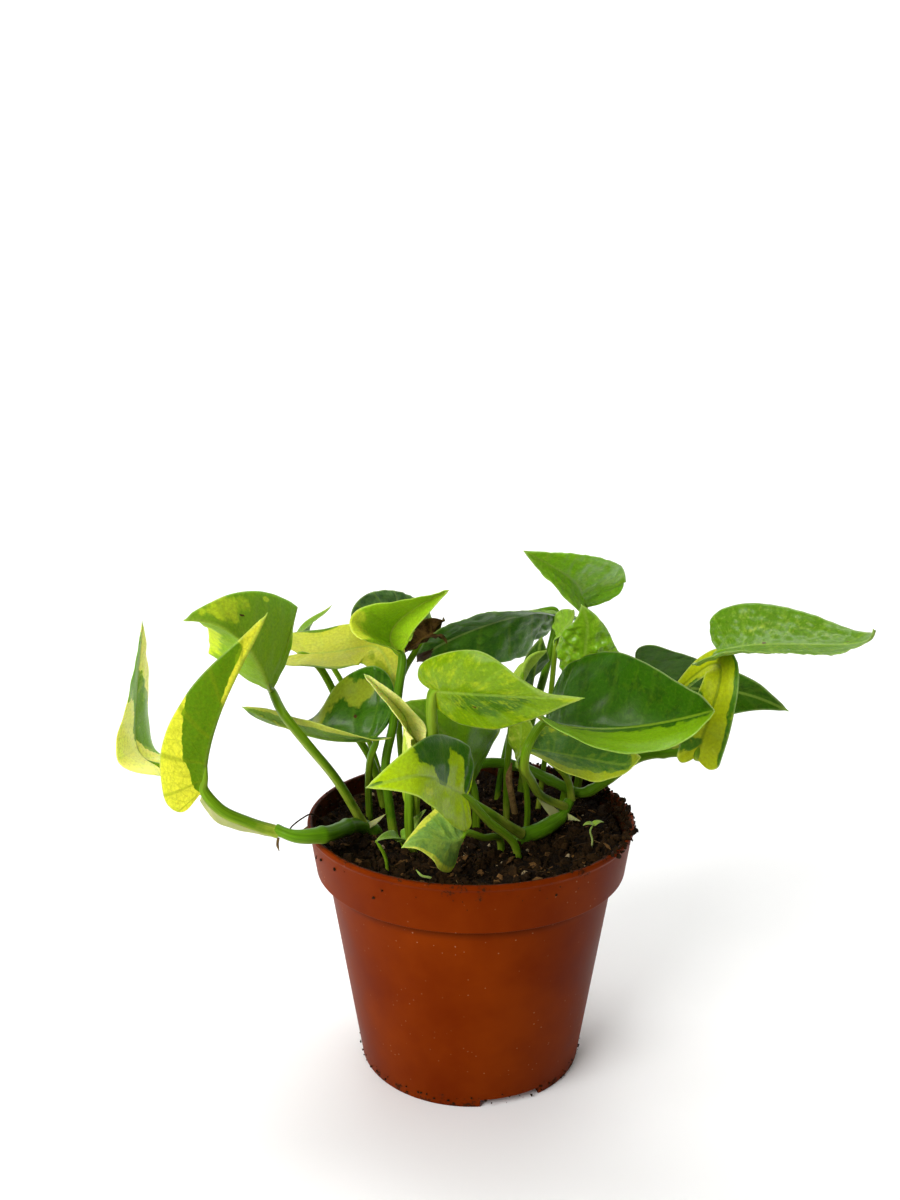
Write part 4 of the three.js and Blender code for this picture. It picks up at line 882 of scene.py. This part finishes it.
def soilMesh():
    gap, bottom, rings = soilSet["clearance"], floorTop + soilSet["clearance"], soilSet["rings"]
    edge = potSet["bandBottom"] - potSet["wall"]
    profile = [(0, bottom), (potInner(bottom) - gap, bottom),
               (potInner(bandBottom - 1) - 2 * gap, bandBottom - 1), (edge - 2 * gap, bandBottom + 1)]
    profile += [(edge * (1 - i / rings), soilSet["height"]) for i in range(rings + 1)]
    mesh = turnedMesh(profile, soilSet["sides"])
    points = np.array([vertex.co for vertex in mesh.vertices]) / mm
    points = [onSoil(x, y) if z > soilSet["height"] - 0.5 else (x, y, z) for x, y, z in points]
    mesh.vertices.foreach_set("co", np.ravel(points) * mm)
    mesh.shade_smooth()
    return mesh


# Damp peat and its crumbs: near black where wet, brown where it dries, rough, with hardly any gloss.
def peatMaterial(name, dark, light, scale, roughness):
    material, node = newMaterial(name)
    place = node("TexCoord").outputs["Object"]
    patchy = node("TexNoise", Vector=place, Scale=scale, Detail=5, Roughness=0.7)
    fine = node("TexNoise", Vector=place, Scale=scale * 9, Detail=4, Roughness=0.8)
    tone = node("MapRange", node("Math", patchy, fine, operation="MULTIPLY"), 0.16, 0.42)
    shader = node("BsdfPrincipled", Base_Color=node("Mix", tone, linear(dark), linear(light), data_type="RGBA"),
                  Roughness=roughness, Specular_IOR_Level=0.08,
                  Normal=node("Bump", Height=fine, Strength=0.9, Distance=0.5 * mm))
    node("OutputMaterial", shader)
    return material


soil = soilMesh()
soil.materials.append(peatMaterial("Damp peat", "#060402", "#21150a", 70, 0.92))
finishPiece("soil_piece", [soil], "soil", "soil")
print("soil filled")

# What lies on the soil: one tree scatters small shapes over a surface.
scatterTree, node, given = newGeometryTree("scatter", {
    "Shapes": "Collection", "Per square metre": 1e5, "Smallest": 1.0, "Largest": 2.0, "Lean": 3.1, "Seed": 1,
    "Material": "Material"})
spots = node("GeometryNodeDistributePointsOnFaces", given["Geometry"], Density=given["Per square metre"],
             Seed=given["Seed"], distribute_method="RANDOM")
lean = node("ShaderNodeMath", given["Lean"], -1, operation="MULTIPLY")
turn = node("FunctionNodeRandomValue", node("ShaderNodeCombineXYZ", lean, lean, 0),
            node("ShaderNodeCombineXYZ", given["Lean"], given["Lean"], 6.28), Seed=given["Seed"],
            data_type="FLOAT_VECTOR")
size = node("FunctionNodeRandomValue", 0, 1, Seed=given["Seed"], data_type="FLOAT")
size = node("ShaderNodeMath", size, 2.2, operation="POWER")
size = node("ShaderNodeMapRange", size, 0, 1, given["Smallest"], given["Largest"])
shapes = node("GeometryNodeCollectionInfo", given["Shapes"], Separate_Children=True, Reset_Children=True)
turn = node("FunctionNodeRotateRotation", spots.outputs["Rotation"], node("FunctionNodeEulerToRotation", turn))
strewn = node("GeometryNodeInstanceOnPoints", spots, Instance=shapes, Pick_Instance=True, Rotation=turn,
              Scale=size)
strewn = node("GeometryNodeRealizeInstances", strewn)
node("NodeGroupOutput", node("GeometryNodeSetMaterial", strewn, Material=given["Material"]))


# Four shapes of about a millimetre, each given by its own draw of points; all have the same faces.
def shapeGroup(name, faces, drawPoints):
    group = bpy.data.collections.new(name)
    scene.collection.children.link(group)
    for i in range(4):
        group.objects.link(bpy.data.objects.new(f"{name}{i}", meshOf(drawPoints() * mm, faces)))
    return group


# Uneven lumps with 20 faces each, flattened or drawn out by stretch.
def lumpShapes(name, stretch, jitter, seed):
    draw = np.random.default_rng(seed)
    golden = (1 + 5 ** 0.5) / 2
    corners = [(0, s, t * golden) for s in (-1, 1) for t in (-1, 1)]
    corners = corners + [(y, z, x) for x, y, z in corners] + [(z, x, y) for x, y, z in corners]
    corners = np.array(corners) / math.hypot(1, golden) * 0.5
    near = [[j for j in range(12) if 0 < np.linalg.norm(corners[i] - corners[j]) < 0.6] for i in range(12)]
    faces = sorted({tuple(sorted((i, j, k))) for i in range(12) for j in near[i] for k in near[i]
                    if k in near[j]})
    faces = [f if np.linalg.det(corners[list(f)]) > 0 else f[::-1] for f in faces]

    def drawPoints():
        points = corners * (1 + draw.uniform(-jitter, jitter, (12, 1)))
        return (points + draw.uniform(-jitter, jitter, (12, 3)) * 0.2) * stretch
    return shapeGroup(name, faces, drawPoints)


# Curved three-sided fibres in six pieces, pointed at both ends.
def fibreShapes(name, thickness, seed):
    draw = np.random.default_rng(seed)
    sides = [2 * math.pi * k / 3 for k in range(3)]
    faces = [(3 * step + k, 3 * step + (k + 1) % 3, 3 * step + 3 + (k + 1) % 3, 3 * step + 3 + k)
             for step in range(6) for k in range(3)]

    def drawPoints():
        bend, lift = draw.uniform(-0.35, 0.35, 2), draw.uniform(0.02, 0.12)
        points = []
        for t in np.arange(7) / 6 - 0.5:
            middle = np.array((t, bend[0] * (t * t - 0.1) + bend[1] * t ** 3, lift * (0.25 - t * t)))
            half = thickness / 2 * (1 - abs(t))
            points += [middle + np.array((0, math.cos(a), math.sin(a))) * half for a in sides]
        return np.array(points)
    return shapeGroup(name, faces + [(2, 1, 0), (18, 19, 20)], drawPoints)


# The soil's top as a surface to strew on, out to a radius.
def soilPatch(lift=0.2, outer=54.6, rings=12, steps=72):
    turns = [math.radians(360 * k / steps) for k in range(steps + 1)]
    radii = [outer * i / rings for i in range(rings + 1)]
    points = [onSoil(r * math.cos(t), r * math.sin(t), lift) for r in radii for t in turns]
    # The random draws depend on this order of each face's corners
    return meshOf(np.array(points) * mm, [(a, d, c, b) for a, b, c, d in gridFaces(rings + 1, steps + 1)])


# A narrow ring round the pot that crumbs stick to, from (radius, height) pairs.
def ringPatch(profile, start, stop, steps=60):
    turns = [math.radians(start + (stop - start) * k / steps) for k in range(steps + 1)]
    points = [(r * math.cos(t), r * math.sin(t), z) for r, z in profile for t in turns]
    return meshOf(np.array(points) * mm, gridFaces(len(profile), steps + 1))


peatCrumb = peatMaterial("Peat crumbs", "#080502", "#3c2811", 110, 0.9)
barkChip = peatMaterial("Composted bark", "#3a2410", "#8a6438", 220, 0.8)
dryFibre = peatMaterial("Dry peat fibre", "#5a452c", "#a98a5c", 200, 0.8)
darkFibre = peatMaterial("Dark root fibre", "#20150c", "#4c3522", 200, 0.8)
paleStone = peatMaterial("Pale grit", "#8a7656", "#c2b08c", 300, 0.85)
crumbs = lumpShapes("crumb", (1, 0.9, 0.8), 0.3, 3)
chips = lumpShapes("chip", (1.6, 1.0, 0.3), 0.3, 5)
fibres = fibreShapes("fibre", 0.035, 7)
strewnSet = [
    # name, surface, shapes, count per square metre, smallest and largest in mm, lean, material
    ("peat_crumbs", soilPatch(), crumbs, 3.2e5, 0.7, 3.2, 3.1, peatCrumb),
    ("peat_lumps", soilPatch(), crumbs, 4.0e4, 2.5, 7.0, 3.1, peatCrumb),
    ("bark_chips", soilPatch(), chips, 2.2e4, 1.2, 4.5, 0.6, barkChip),
    ("peat_fibres", soilPatch(0.6), fibres, 3.0e4, 4.0, 12.0, 0.25, darkFibre),
    ("pale_fibres", soilPatch(0.7), fibres, 5.0e3, 3.0, 8.0, 0.2, dryFibre),
    ("pale_grit", soilPatch(), crumbs, 4.0e3, 0.8, 3.0, 3.1, paleStone),
    ("lip_crumbs", ringPatch([(59.3, 89.5), (58.2, 83)], 195, 300), crumbs, 1.5e4, 0.4, 1.3, 3.1, peatCrumb),
    ("rim_crumbs_right", ringPatch([(60.2, 91.5), (59.6, 93.3), (57.8, 93.3), (56, 87)], -38, 70), crumbs,
     4.0e5, 0.7, 2.8, 3.1, peatCrumb),
    ("rim_crumbs", ringPatch([(59, 93.1), (57.9, 93.1), (56, 87)], 60, 325), crumbs, 9e4, 0.5, 1.8, 3.1,
     peatCrumb),
    ("foot_grit", ringPatch([(41.4, 0.6), (42.2, 5)], 0, 360), crumbs, 1.3e5, 0.3, 1.1, 3.1, peatCrumb),
]
for index, (name, surface, shapes, count, smallest, largest, lean, material) in enumerate(strewnSet):
    mesh = growMesh(addObject(name, surface), scatterTree, {
        "Shapes": shapes, "Per square metre": count, "Smallest": smallest, "Largest": largest, "Lean": lean,
        "Seed": 11 + index, "Material": material})
    finishPiece(name, [mesh], "soil")
for group in (crumbs, chips, fibres):
    for shape in list(group.objects):
        bpy.data.objects.remove(shape)
    bpy.data.collections.remove(group)
print("soil strewn:", len(strewnSet))

# Small shoots: blades and stalks as above, with the same greens on both faces.
shoots = {
    "shoot_left": {
        "stalk": ((-19, -3, 84), (-20, -8, 88)), "thickness": 1.2, "width": 5.5, "fold": (35, 35),
        "midrib": ((-20.5, -9, 89), (-21, -12, 93), (-19, -14, 98), (-16, -15, 101)), "face": (-0.5, -0.8, 0.3),
        "upper": ("#98b04c", "#c4cc84", "#6f9430")},
    "shoot_middle": {
        "stalk": ((-24, -12, 84), (-25, -13, 87)), "thickness": 1.4, "width": 8, "fold": (20, 20),
        "midrib": ((-25, -13, 88), (-26, -16, 91), (-31, -19, 93), (-34, -21, 91)), "face": (0, -0.5, 0.9),
        "upper": ("#5f8420", "#98b044", "#46701a")},
    "shoot_front": {
        "stalk": ((-26, -10, 84), (-25, -12, 88)), "thickness": 1.4, "width": 6, "fold": (20, 20),
        "midrib": ((-25, -12, 89), (-21, -15, 92), (-17, -18, 92), (-14, -20, 89)), "face": (0.2, -0.6, 0.9),
        "upper": ("#68902a", "#a0b850", "#4c7a1c")},
}
for index, (name, own) in enumerate(shoots.items()):
    leaf = {**usualLeaf, **own, "lower": own["upper"], "name": name, "seed": 60.3 + index, "curl": (8, 8),
            "lobe": 0.3, "wave": 0.1, "pucker": 0.05}
    stem = stalkMesh([*leaf["stalk"], leaf["midrib"][0]], leaf["thickness"], greenSkin, {
        "Step": 0.5 * mm, "Sides": 10})
    finishPiece(name, [grownBlade(leaf), stem], "leaf")


# A thin membrane that hangs from a path: one edge along it, the other a changing distance away.
def wingMesh(points, reach, away, thickness=0.35):
    path = smoothPath(points)
    share = np.linspace(0, 1, len(path))[:, None]
    away = unit(np.array(away, float))
    across = unit(np.cross(unit(np.gradient(path, axis=0)), away))
    rows = []
    for k in range(6):
        drop = np.interp(share, np.linspace(0, 1, len(reach)), reach) * k / 5
        rows.append(path + away * drop + across * np.sin(share * 23 + k) * 0.25 * (k / 5) ** 2)
    grid, skin = np.stack(rows, 1), across[:, None] * thickness / 2
    return closedSkin((grid - skin) * mm, (grid + skin) * mm)


paleSprout = stalkMaterial("Pale sprout", "#b8b48a", "#9cac60", "#8fae4c")
youngSkin = stalkMaterial("Young sheath", "#7c9820", "#9cb82c", "#bccc54")
dryHusk = peatMaterial("Dry sheath", "#4a3216", "#a88a52", 500, 0.75)
sprouts = {
    # name: points, thickness at the foot, material, slot
    "seedling_stem": ([onSoil(43, -14, -1), onSoil(43.4, -14.2, 3), onSoil(42.6, -14, 6.5),
                       onSoil(43.6, -14.4, 9)], 0.8, paleSprout, "stem"),
    "sprout_left": ([onSoil(-29, -33, -1), onSoil(-29.5, -33.5, 4), onSoil(-31, -34, 8), onSoil(-33, -34, 11)],
                    1.3, greenSkin, "stem"),
    "sprout_middle": ([onSoil(-12, -41, -0.5), onSoil(-14, -42, 1.6), onSoil(-17, -42, 2.2),
                       onSoil(-19, -40.5, 3.4)], 0.9, paleSprout, "stem"),
    "stray_root": ([(-56, -1, 92), (-58.5, -3, 94.2), (-62, -5, 93), (-65.5, -7, 90.5), (-66, -8, 89)], 0.6,
                   darkFibre, "soil"),
    "hanging_scrap_left": ([(-66.5, -30.5, 97), (-66.8, -31, 94.6), (-66.2, -31.4, 92.4)], 1.0, dryHusk,
                           "soil"),
    "hanging_scrap_rim": ([(-58.2, -14, 93.4), (-59.8, -14.8, 92.2), (-60.4, -15.2, 88.6)], 1.8, dryHusk,
                          "soil"),
    "young_sheath": ([(-20.5, -15.5, 100), (-21.5, -18, 112), (-21, -20, 124), (-22, -18.5, 131),
                      (-23.5, -17.5, 137)], 6.4, youngSkin, "stem"),
    "dry_sheath": ([(16, -6, 96), (14.5, -8, 104), (13.5, -9, 111), (14.5, -8.5, 116)], 2.4, dryHusk, "stem"),
}
for name, (points, thickness, material, slotName) in sprouts.items():
    stem = stalkMesh(points, thickness, material, {
        "Step": 0.5 * mm, "Sides": 12, "Foot swell": -0.3 if thickness > 5 else 0.0,
        "End reach": 2.2 * thickness * mm, "Channel": 0.3})
    finishPiece(name, [stem], slotName)

paperSheath = stalkMaterial("Papery sheath, grey-green", "#a9aa72", "#8c9c58", "#7c9148")
mainLeaf = leaves["leaf_left_front"]
sheaths = {
    # name: the edge that holds it, how far it reaches along the way, and which way
    "sheath_left_stalk": ([np.add(p, (0, 0, -1.2)) for p in (*mainLeaf["stalk"], mainLeaf["midrib"][0])],
                          (0.8, 1.6, 2.6, 3.4, 3.8, 3.0), (-0.35, 0, -1)),
    "sheath_right_joint": ([(35, 2, 91.5), (32, 0.5, 94.5), (26.5, -1, 100), (22, -3, 106)],
                           (4.5, 4.0, 2.2, 0.3), (-0.5, -0.2, -0.8)),
    "sheath_right_point": ([(36, 2, 92.5), (38.5, 0.5, 91.5), (40.5, -0.5, 90.5)], (2.6, 1.2, 0.2),
                           (0.1, -0.4, -0.9)),
    "sheath_left_joint": ([(-39, -4, 90.5), (-35, -5, 93), (-31, -6, 95.5)], (2.5, 2.0, 0.2),
                          (0.2, -0.3, -0.9)),
}
for name, (edge, reach, away) in sheaths.items():
    sheath = wingMesh(edge, reach, away)
    sheath.materials.append(paperSheath)
    finishPiece(name, [sheath], "stem")

# The withered end of the long leaf at the back.
brown = ("#4a3418", "#7c6034", "#2c1c0c")
finishPiece("withered_leaf_end", [grownBlade({
    **usualLeaf, "name": "withered_leaf_end", "seed": 3.1, "thickness": 1.2, "width": 15, "fold": (35, 35),
    "midrib": ((-12, 40, 152), (-17, 37, 153), (-21, 38, 147), (-27, 40, 143)), "face": (0.2, -0.8, 0.5),
    "twist": 60, "curl": (40, 40), "lobe": 0.2, "upper": brown, "lower": brown, "pale": 0.2, "dark": 0.5,
    "wave": 1.6, "pucker": 1.2, "wax": 0, "roughness": 0.7, "veinColour": "#6a5228", "midribColour": "#6a5228",
    "rimColour": "#3a2812"})], "leaf")

# The seedling's two leaves.
for name, turn in (("seedling_leaf_left", 200), ("seedling_leaf_right", 20)):
    out = np.array((math.cos(math.radians(turn)), math.sin(math.radians(turn)), 0))
    start = np.array(onSoil(43.6, -14.4, 9))
    midrib = [start + out * s + (0, 0, h) for s, h in ((0, 0), (1.2, 0.9), (2.8, 1.0), (4.2, 0.2))]
    finishPiece(name, [grownBlade({
        **usualLeaf, "name": name, "seed": turn / 9, "thickness": 0.6, "midrib": midrib, "width": 2.6,
        "face": (0, -0.1, 1), "fold": (8, 8), "lobe": 0.1, "wave": 0, "pucker": 0.02,
        "upper": ("#7c9c30", "#a8b860", "#5f8420")})], "leaf")
print("small pieces placed:", len(shoots) + len(sprouts) + len(sheaths) + 3)

# Floor and light: a plain pale sweep, a big soft window light from the left, and room light from all round.
stageSet = {
    "floor": "#fdfdfc", "room": 0.15,
    "lamps": {  # where each stands, what it faces, its size and its power
        "window": ((-0.85, -0.95, 0.8), (0, 0, 0.1), 0.9, 23.5),
        "fill": ((1.1, -0.8, 0.6), (0, 0, 0.1), 1.0, 0.8),
        "ceiling": ((0.1, 0.1, 1.5), (0, 0, 0.1), 1.2, 5.0),
        "backdrop": ((0, 0.7, 1.9), (0, 2.0, 0.7), 1.4, 34.0)},
}
bend = [(1.2 + 0.8 * math.sin(a), 0.8 - 0.8 * math.cos(a)) for a in np.linspace(0.1, math.pi / 2, 12)]
profile = [(-2.5, 0), (1.2, 0), *bend, (2.0, 3.0)]
sweep = meshOf([(x, y, z) for y, z in profile for x in (-3, 3)], gridFaces(len(profile), 2))
sweep.shade_smooth()
material, node = newMaterial("Matt paper sweep")
paper = node("TexNoise", Vector=node("TexCoord").outputs["Object"], Scale=900)
shader = node("BsdfPrincipled", Base_Color=linear(stageSet["floor"]), Roughness=0.9,
              Normal=node("Bump", Height=paper, Strength=0.03))
node("OutputMaterial", shader)
sweep.materials.append(material)
addObject("sweep", sweep)
for name, (place, aim, size, power) in stageSet["lamps"].items():
    lamp = bpy.data.lights.new(name, "AREA")
    lamp.size = size
    lamp.energy = power
    light = addObject(name, lamp)
    light.location = place
    light.rotation_euler = (Vector(aim) - Vector(place)).to_track_quat("-Z", "Y").to_euler()
world = bpy.data.worlds.new("room")
world.use_nodes = True
background = world.node_tree.nodes["Background"]
background.inputs["Color"].default_value = linear("#ffffff")
background.inputs["Strength"].default_value = stageSet["room"]
scene.world = world
scene.view_settings.view_transform = "Standard"
print("lights set")
